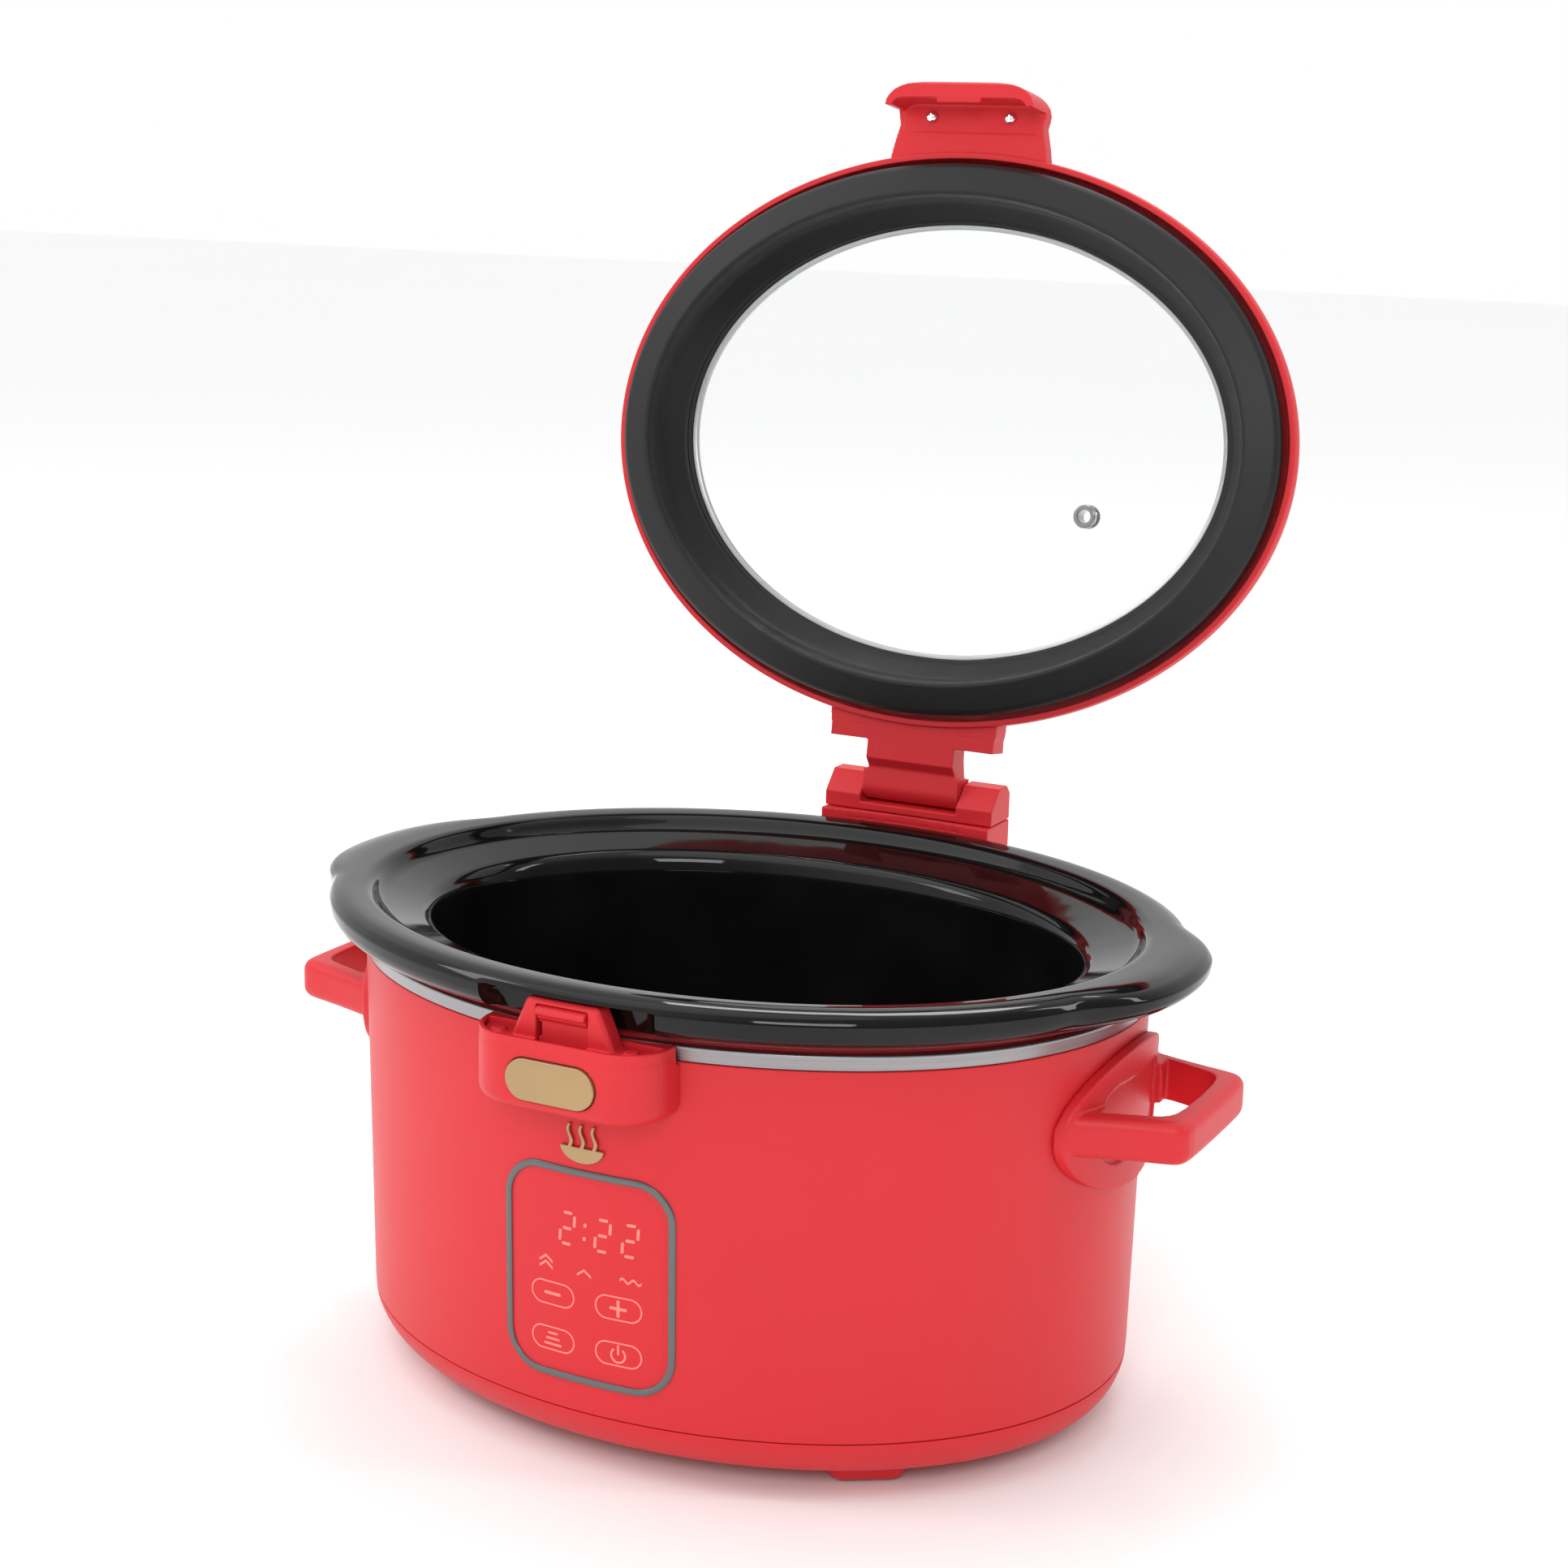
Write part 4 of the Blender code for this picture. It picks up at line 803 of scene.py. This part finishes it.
def build_handle(side, label):
    """Loop of the grip, and the oval flange with a shallow scoop behind the fingers."""
    outer = [(150.0, -52.0), (172.0, -48.5), (182.0, -45.4), (192.0, -42.6), (200.0, -40.6),
             (206.0, -39.2), (210.0, -38.0), (212.8, -36.2), (214.3, -33.6), (215.0, -29.0),
             (215.3, -18.0), (215.4, 0.0)]
    inner = [(179.0, -38.0), (190.0, -34.2), (197.0, -31.8), (200.8, -30.2), (203.4, -27.8),
             (205.0, -24.2), (205.9, -17.0), (206.4, -8.0), (206.5, 0.0)]
    full = outer + [(x, -y) for x, y in reversed(outer[:-1])]
    hole = inner + [(x, -y) for x, y in reversed(inner[:-1])]
    grip = prism(f"grip_{label}", [(side * x, y) for x, y in full], "Z", *HANDLE_Z)
    bevel(grip, 4.8, 5)
    combine(grip, prism("hole", [(side * x, y) for x, y in hole], "Z", 100.0, 200.0))
    # The grip rises half a millimetre towards its far end.
    for vert in grip.data.vertices:
        vert.co.z += 0.5 * (abs(vert.co.x) - 171.0) / 44.4
    combine(grip, oval("core", [(*wall(z, 2.4), 0.0) for z in (90.0, 205.0)], False,
                       CUTTER_RING))
    low, high = (150.0, 190.0) if side > 0 else (-190.0, -150.0)
    flange = band("flange", 0.3, 5.0)
    ring = arc((0.0, FLANGE_Z), (52.0, 30.0), 0.0, 360.0, 72)[:-1]
    combine(flange, prism("keep", ring, "X", low, high), "INTERSECT")
    scoop = band("scoop", 3.4, 12.0)
    bowl = rounded_rectangle(0.0, FLANGE_Z, 66.0, 34.0, 16.0, 10)
    combine(scoop, prism("keep_scoop", bowl, "X", low, high), "INTERSECT")
    combine(grip, flange, "UNION")
    combine(grip, scoop)
    soften(grip, 0.62, 6)
    finish_piece(grip, M_RED, "base", [f"handle_{label}"], angle=80)


# ---- hinge ------------------------------------------------------------------

def build_hinge_bracket():
    """Riser on the back wall, with two fine grooves."""
    profile = [(118.0, 146.0), (143.0, 146.0), (150.0, 148.0), (176.0, 176.0), (180.0, 182.0),
               (181.0, 188.0), (181.0, 213.7), (118.0, 213.7)]
    bracket = prism("hinge_riser", profile, "X", -EAR_OUTER_X, EAR_OUTER_X)
    combine(bracket, clearance())
    for z in (209.4, 205.8):
        combine(bracket, block("groove", (-30.0, 150.0, z), (30.0, 159.6, z + 1.0)))
    soften(bracket, 0.6, 4)
    finish_piece(bracket, M_RED, "base", ["hinge_bracket"], angle=80)


def build_hinge_yoke():
    """Two ears that carry the pin, with the bed and the stop between them."""
    profile = [(158.6, 214.2), (181.0, 214.2), (181.0, 227.0), (177.0, 231.0),
               (167.5, 231.0), (158.6, 221.5)]
    yoke = prism("hinge_ears", profile, "X", -EAR_OUTER_X, EAR_OUTER_X)
    combine(yoke, block("bed", (-EAR_INNER_X, 150.0, 217.8), (EAR_INNER_X, 175.2, 240.0)))
    combine(yoke, block("stop", (-EAR_INNER_X, 170.0, 226.0), (EAR_INNER_X, 190.0, 240.0)))
    combine(yoke, cross_rod("bore", HINGE_BORE_RADIUS, 41.5, HINGE, segments=32))
    soften(yoke, 0.42, 4)
    finish_piece(yoke, M_RED, "base", ["hinge_yoke"], angle=80)
    pin = cross_rod("hinge_rod", HINGE_BORE_RADIUS - 0.3, 41.2, HINGE, 0.5, 32)
    finish_piece(pin, M_CHROME, "base", ["hinge_pin"])


# ---- pot --------------------------------------------------------------------

def ease(value):
    """Smooth step from 0 to 1."""
    value = min(1.0, max(0.0, value))
    return value * value * (3.0 - 2.0 * value)


def build_crock():
    """Pot as one profile: up the outside, over the rim and down the inside."""
    points = [
        (112.0, 80.0, 29.2), (118.0, 86.0, 29.4, 1.5), (130.5, 97.8, 34.0, 4.0),
        (136.5, 103.3, 39.5, 4.0), (139.0, 105.5, 46.0, 4.0), (157.6, 120.7, 188.0),
        (158.6, 121.6, 193.0, 2.0), (161.0, 124.0, 195.4, 1.5), (182.0, 145.8, 195.4, 0.8, 2.5),
        (187.4, 151.1, 196.4, 2.5, 5.0), (190.8, 154.5, 199.4, 2.5, 9.0),
        (192.0, 155.7, 202.6, 1.2, 10.6), (192.3, 156.0, 206.2, 0.4, 10.7),
        (192.1, 155.8, 207.2, 0.3, 10.6), (190.6, 154.3, 209.8, 1.8, 9.8),
        (186.8, 150.5, 211.3, 2.2, 6.5), (183.0, 146.8, 211.5, 2.5, 4.0),
        (175.8, 140.4, 210.9, 2.2), (173.2, 137.6, 209.2, 1.4), (171.2, 134.6, 206.0, 1.8),
        (168.6, 131.6, 204.2, 2.2), (151.4, 114.2, 199.0, 2.5), (148.0, 110.7, 196.6, 2.4),
        (146.5, 109.2, 191.0, 3.0), (132.6, 98.6, 56.0, 8.0), (129.8, 95.6, 47.5, 6.0),
        (122.5, 88.0, 41.5, 6.0), (110.0, 76.0, 39.4, 5.0), (60.0, 42.0, 39.0),
    ]
    pot = oval("stoneware_pot", fillet(points, 5), False, 300)
    # The rim's skirt is set back behind the latch.
    relief_y = -143.4
    for vert in pot.data.vertices:
        x, y, z = vert.co
        if y > relief_y or z > 207.4 or z < 195.0:
            continue
        depth = ease((39.0 - abs(x)) / 4.0) * ease((207.2 - z) / 1.6)
        vert.co.y = y + (relief_y - y) * depth
    finish_piece(pot, M_GLAZE, "crock", ["crock"], angle=60)


# ---- lid --------------------------------------------------------------------

def lid_hollow():
    """Space inside the lid's ring, taken by the seal and the glass."""
    points = [(172.8, 133.8, 190.0), (172.6, 133.6, 218.0), (168.0, 129.0, 226.0),
              (160.0, 121.6, 229.0), (160.0, 121.6, 245.0)]
    return oval("hollow", fillet(points), False, CUTTER_RING)


def build_lid_ring():
    """Rounded ring of the lid, with a recess for the glass."""
    points = [
        (174.0, 135.0, 212.3, 0.5), (174.7, 135.7, 216.0, 1.5), (173.2, 134.2, 223.0, 3.5),
        (168.0, 129.2, 229.5, 4.0), (157.0, 118.6, 234.0, 5.0), (146.0, 108.6, 236.3, 1.5),
        (143.2, 106.0, 235.6, 1.0), (142.4, 105.4, 232.0, 0.5), (150.2, 112.8, 231.4, 0.5),
        (166.0, 127.2, 226.5, 2.0), (170.6, 131.6, 221.0, 2.0), (171.4, 132.4, 212.3, 0.5),
    ]
    finish_piece(oval("lid_ring", fillet(points)), M_RED, "lid", ["lid_frame"], angle=60,
                 lid=True)


def build_lid_seal():
    """Silicone ring between the lid and the pot, with a lip that holds the glass."""
    points = [
        (168.8, 129.4, 211.5, 0.3), (168.8, 129.4, 206.9, 1.4), (166.5, 127.2, 205.0, 1.0),
        (154.2, 115.9, 201.3, 0.6), (152.6, 114.4, 201.6, 0.7), (151.6, 113.4, 205.0, 1.2),
        (151.0, 112.8, 212.6, 2.6), (147.0, 109.2, 217.0, 2.0), (142.4, 105.4, 221.6, 1.4),
        (141.2, 104.6, 222.2, 0.4), (141.0, 104.4, 223.0, 0.3), (139.1, 103.0, 223.4, 0.4),
        (139.1, 103.0, 226.2, 0.2), (147.8, 111.0, 226.2), (154.5, 116.6, 216.0),
        (154.6, 116.8, 204.2), (164.8, 125.6, 207.6), (166.8, 127.4, 211.5, 0.2),
    ]
    finish_piece(oval("seal_ring", fillet(points)), M_SEAL, "lid", ["lid_seal"], angle=45,
                 lid=True)


def build_lid_glass():
    """Crowned pane with its steel edge band and the vent's eyelet."""
    points = [(139.0, 102.9, 223.9, 0.3), (139.0, 102.9, 226.5), (136.9, 100.9, 226.9),
              (136.9, 100.9, 224.6, 0.3)]
    finish_piece(oval("glass_rim", fillet(points)), M_STEEL, "lid",
                 angle=40, lid=True)
    lower, upper = [], []
    for k in range(24):
        s = 0.04 + 0.96 * k / 23
        half_width, half_depth = (half * s for half in PANE_HALF)
        lower.append((half_width, half_depth, 236.3 - 9.8 * s * s, 0.0))
        upper.append((half_width, half_depth, 240.3 - 9.6 * s * s, 0.0))
    pane = oval("glass_pane", lower + upper[::-1], False, 200)
    combine(pane, turned("hole", [(4.7, 220.0, 0), (4.7, 250.0, 0)], 40, VENT))
    finish_piece(pane, M_GLASS, "lid", ["lid_glass"], angle=30, lid=True)
    eyelet = [(3.1, 231.2, 0.5), (5.4, 231.2, 0.5), (5.7, 232.6, 0.4), (4.3, 232.6, 0.1),
              (4.3, 238.2, 0.1), (5.7, 238.2, 0.4), (5.4, 239.6, 0.5), (3.1, 239.6, 0.5)]
    finish_piece(turned("vent_eyelet", eyelet, 56, VENT, True), M_EYELET, "lid",
                 ["vent_grommet"], lid=True)


def build_lid_arm():
    """Arm behind the ring, narrowing to the knuckle round the hinge pin."""
    plan = mirrored([(44.5, 118.0), (43.4, 136.0), (42.7, 139.0), (42.7, 144.5), (22.8, 144.5),
                     (22.8, 159.0), (25.0, 159.0), (25.0, 176.0)])
    arm = prism("lid_hinge_arm", plan, "Z", 200.0, 240.0)
    side = [(110.0, 215.0), (153.5, 215.0), (157.5, 218.9)]
    side += arc(HINGE, (7.0, 7.0), -90.0, 90.0, 16)
    side += [(160.0, 232.4), (150.0, 229.2), (132.0, 227.4), (110.0, 227.4)]
    combine(arm, prism("side", side, "X", -60.0, 60.0), "INTERSECT")
    combine(arm, lid_hollow())
    combine(arm, cross_rod("bore", HINGE_BORE_RADIUS, 40.0, HINGE, segments=32))
    # Fine parting lines of the cover on its underside.
    for low, high in (((-38.0, 137.8), (-22.0, 138.3)), ((22.0, 137.8), (35.0, 138.3)),
                      ((-19.3, 138.0), (-18.8, 153.0)), ((18.8, 138.0), (19.3, 153.0))):
        combine(arm, block("line", (low[0], low[1], 213.0), (high[0], high[1], 215.5)))
    soften(arm, 0.5, 3)
    finish_piece(arm, M_RED, "lid", angle=80, lid=True)


def build_lid_hood():
    """Hollow hood at the front, with the catch ledge inside and two screw holes."""
    plan = mirrored([(43.0, -118.0), (40.6, -128.0), (38.8, -138.0), (37.2, -144.6),
                     (36.4, -147.6), (36.7, -149.6), (37.4, -151.6), (37.6, -154.2),
                     (37.0, -157.0), (35.6, -159.4), (33.2, -161.6), (30.0, -163.2),
                     (26.0, -164.3), (20.0, -165.0), (10.0, -165.4)])
    hood = prism("lid_hood", plan, "Z", 190.0, 240.0)
    side = [(-110.0, 214.0), (-154.2, 214.0), (-154.2, 197.0), (-164.2, 197.0),
            (-165.2, 198.2), (-165.4, 202.0), (-165.2, 207.0), (-164.4, 211.6),
            (-162.8, 215.4), (-160.4, 218.4), (-157.0, 220.8), (-152.0, 222.0),
            (-146.0, 222.3), (-110.0, 222.3)]
    combine(hood, prism("side", side, "X", -60.0, 60.0), "INTERSECT")
    inner = mirrored([(34.4, -144.0), (34.4, -152.6), (33.6, -155.2), (31.8, -156.9),
                      (28.6, -157.7)])
    combine(hood, prism("inner", inner, "Z", 180.0, 214.4))
    combine(hood, lid_hollow())
    ledge = block("ledge", (-CATCH_HALF_WIDTH, -158.6, 197.2), (CATCH_HALF_WIDTH, -155.6, 199.0))
    combine(hood, ledge, "UNION")
    for x in (-HOOD_SCREW_X, HOOD_SCREW_X):
        hole = turned("hole", [(1.7, 205.0, 0), (1.7, 219.4, 0)], 24, (x, HOOD_SCREW_Y))
        combine(hood, hole)
    soften(hood, 0.5, 5)
    finish_piece(hood, M_RED, "lid", angle=80, lid=True)


def pan_head(name, centre, low, high):
    """Pan-head screw with a cross recess, head downwards."""
    cx, cy = centre
    head = turned(name, [(0.6, low, 0.0), (1.5, low + 0.05, 0.8), (2.6, low + 0.9, 0.6),
                         (2.6, low + 2.3, 0.2), (1.4, low + 2.3, 0.0), (1.4, high, 0.3)],
                  40, centre)
    for wide, deep in ((1.5, 0.32), (0.32, 1.5)):
        cross = block("cross", (cx - wide, cy - deep, low - 1), (cx + wide, cy + deep, low + 1.0))
        combine(head, cross)
    return head


def build_hood_screws():
    for x, label in ((-HOOD_SCREW_X, "left"), (HOOD_SCREW_X, "right")):
        screw = pan_head(f"hood_screw_{label}", (x, HOOD_SCREW_Y), 211.7, 219.0)
        finish_piece(screw, M_CHROME, "lid", [f"lid_screw_{label}"], lid=True)


def build_cord_inlet():
    """Rubber grommet in the back wall."""
    profile = [(3.6, -4.4, 0.4), (8.6, -4.4, 0.6), (8.6, -1.9, 0.4), (6.0, -1.9, 0.2),
               (6.0, 0.6, 0.2), (9.2, 0.6, 0.3), (8.6, 3.2, 1.2), (3.6, 3.2, 0.8)]
    inlet = lay(turned("cable_grommet", profile, 48, closed=True), "Y",
                (0.0, wall(INLET_Z)[1], INLET_Z))
    finish_piece(inlet, M_RUBBER, "base", ["cord_inlet"])


# ---- stage, lights and camera -----------------------------------------------

def build_stage():
    """Pale floor, 18 m across, just below the feet."""
    bm = bmesh.new()
    bmesh.ops.create_grid(bm, x_segments=8, y_segments=8, size=9.0)
    floor = from_bmesh("studio_floor", bm)
    floor.location.z = -0.0004
    mat, tree, shader = new_material("studio_white", (0.93, 0.93, 0.93), 0.0, 0.9)
    tint(tree, noise(tree, 0.4), (0.925, 0.925, 0.925), (0.935, 0.935, 0.935), shader)
    floor.data.materials.append(mat)


def build_world():
    """White surroundings, which the gloss sees as greyer on the front right."""
    world = bpy.data.worlds.new("studio")
    world.use_nodes = True
    tree = world.node_tree
    coord = tree.nodes.new("ShaderNodeTexCoord")
    side = tree.nodes.new("ShaderNodeVectorMath")
    side.operation = "DOT_PRODUCT"
    side.inputs[1].default_value = (0.82, -0.52, -0.05)
    tree.links.new(coord.outputs["Generated"], side.inputs[0])
    span = tree.nodes.new("ShaderNodeMapRange")
    span.interpolation_type = "SMOOTHSTEP"
    span.inputs["From Min"].default_value = -0.1
    span.inputs["From Max"].default_value = 0.9
    span.inputs["To Min"].default_value = 1.0
    span.inputs["To Max"].default_value = 0.28
    tree.links.new(side.outputs["Value"], span.inputs["Value"])
    tree.nodes["Background"].inputs["Color"].default_value = (1.0, 1.0, 1.0, 1.0)
    path = tree.nodes.new("ShaderNodeLightPath")
    direct = tree.nodes.new("ShaderNodeMath")
    direct.operation = "MAXIMUM"
    tree.links.new(path.outputs["Is Camera Ray"], direct.inputs[0])
    tree.links.new(path.outputs["Is Transmission Ray"], direct.inputs[1])
    level = tree.nodes.new("ShaderNodeMath")
    level.operation = "MAXIMUM"
    tree.links.new(span.outputs["Result"], level.inputs[0])
    tree.links.new(direct.outputs["Value"], level.inputs[1])
    tree.links.new(level.outputs["Value"], tree.nodes["Background"].inputs["Strength"])
    scene.world = world


def area_light(name, spot, aim_z, width, height, watts):
    """Soft rectangular light, aimed at a height above the origin."""
    data = bpy.data.lights.new(name, "AREA")
    data.shape = "RECTANGLE"
    data.size = width
    data.size_y = height
    data.energy = watts
    light = bpy.data.objects.new(name, data)
    light.location = spot
    direction = Vector((0.0, 0.0, aim_z)) - Vector(spot)
    light.rotation_mode = "QUATERNION"
    light.rotation_quaternion = direction.to_track_quat("-Z", "Y")
    scene.collection.objects.link(light)


def build_lights():
    area_light("key", (0.9, -2.1, 1.5), 0.15, 0.9, 0.9, 20.0)
    area_light("left_fill", (-1.8, -1.0, 1.6), 0.15, 0.5, 0.9, 7.0)
    area_light("overhead", (-0.3, 1.0, 2.1), 0.2, 1.2, 0.35, 13.0)
    area_light("side_strip", (1.9, 0.4, 1.5), 0.2, 0.25, 1.2, 7.0)
    data = bpy.data.lights.new("ceiling", "SUN")
    data.energy = 0.62
    data.angle = math.radians(60.0)
    lamp = bpy.data.objects.new("ceiling", data)
    lamp.rotation_mode = "QUATERNION"
    lamp.rotation_quaternion = Vector((0.3, 0.25, -0.92)).to_track_quat("-Z", "Y")
    scene.collection.objects.link(lamp)


def build_camera():
    """Camera a little above the cooker, to its front right, rolled by a degree or so."""
    data = bpy.data.cameras.new("camera")
    data.sensor_width = 36.0
    data.lens = CAMERA_LENS_MM
    data.clip_start = 0.05
    data.clip_end = 60.0
    camera = bpy.data.objects.new("camera", data)
    spot = Vector(CAMERA_SPOT)
    back = (spot - Vector(CAMERA_TARGET)).normalized()
    right = Vector((0, 0, 1)).cross(back).normalized()
    up = back.cross(right)
    roll = math.radians(CAMERA_ROLL_DEG)
    x_axis = math.cos(roll) * right + math.sin(roll) * up
    y_axis = -math.sin(roll) * right + math.cos(roll) * up
    rotation = Matrix((x_axis, y_axis, back)).transposed()
    camera.matrix_world = Matrix.Translation(spot) @ rotation.to_4x4()
    scene.collection.objects.link(camera)
    scene.camera = camera


# Materials of the CAD nodes that are shown as they are.
CARRIED = {
    "band_heater": M_MICA, "insulation_wrap": M_WOOL, "heat_shield": M_ALU,
    "thermostat": M_ALU, "power_board": M_BOARD, "display_board": M_BOARD,
    "heating_well": M_ALU, "pawl_spring": M_CHROME,
}


def dress_carried_nodes():
    """Give the inner CAD nodes and the screws their materials."""
    for name, node in frame["nodes"].items():
        material = CARRIED.get(name)
        if material is None and "screw" in name:
            material = M_CHROME
        if material is not None:
            node.data.materials.clear()
            node.data.materials.append(material)


scene.view_settings.view_transform = "Standard"
build_housing()
build_base_pan()
build_rim_band()
build_feet()
build_bezel()
build_touch_face()
build_display()
build_marks()
build_keys()
build_badge()
build_latch_housing()
build_latch_tower()
build_pawl()
build_button()
build_handle(1.0, "right")
build_handle(-1.0, "left")
build_hinge_bracket()
build_hinge_yoke()
build_crock()
build_lid_ring()
build_lid_seal()
build_lid_glass()
build_lid_arm()
build_lid_hood()
build_hood_screws()
build_cord_inlet()
dress_carried_nodes()
build_stage()
build_world()
build_lights()
build_camera()
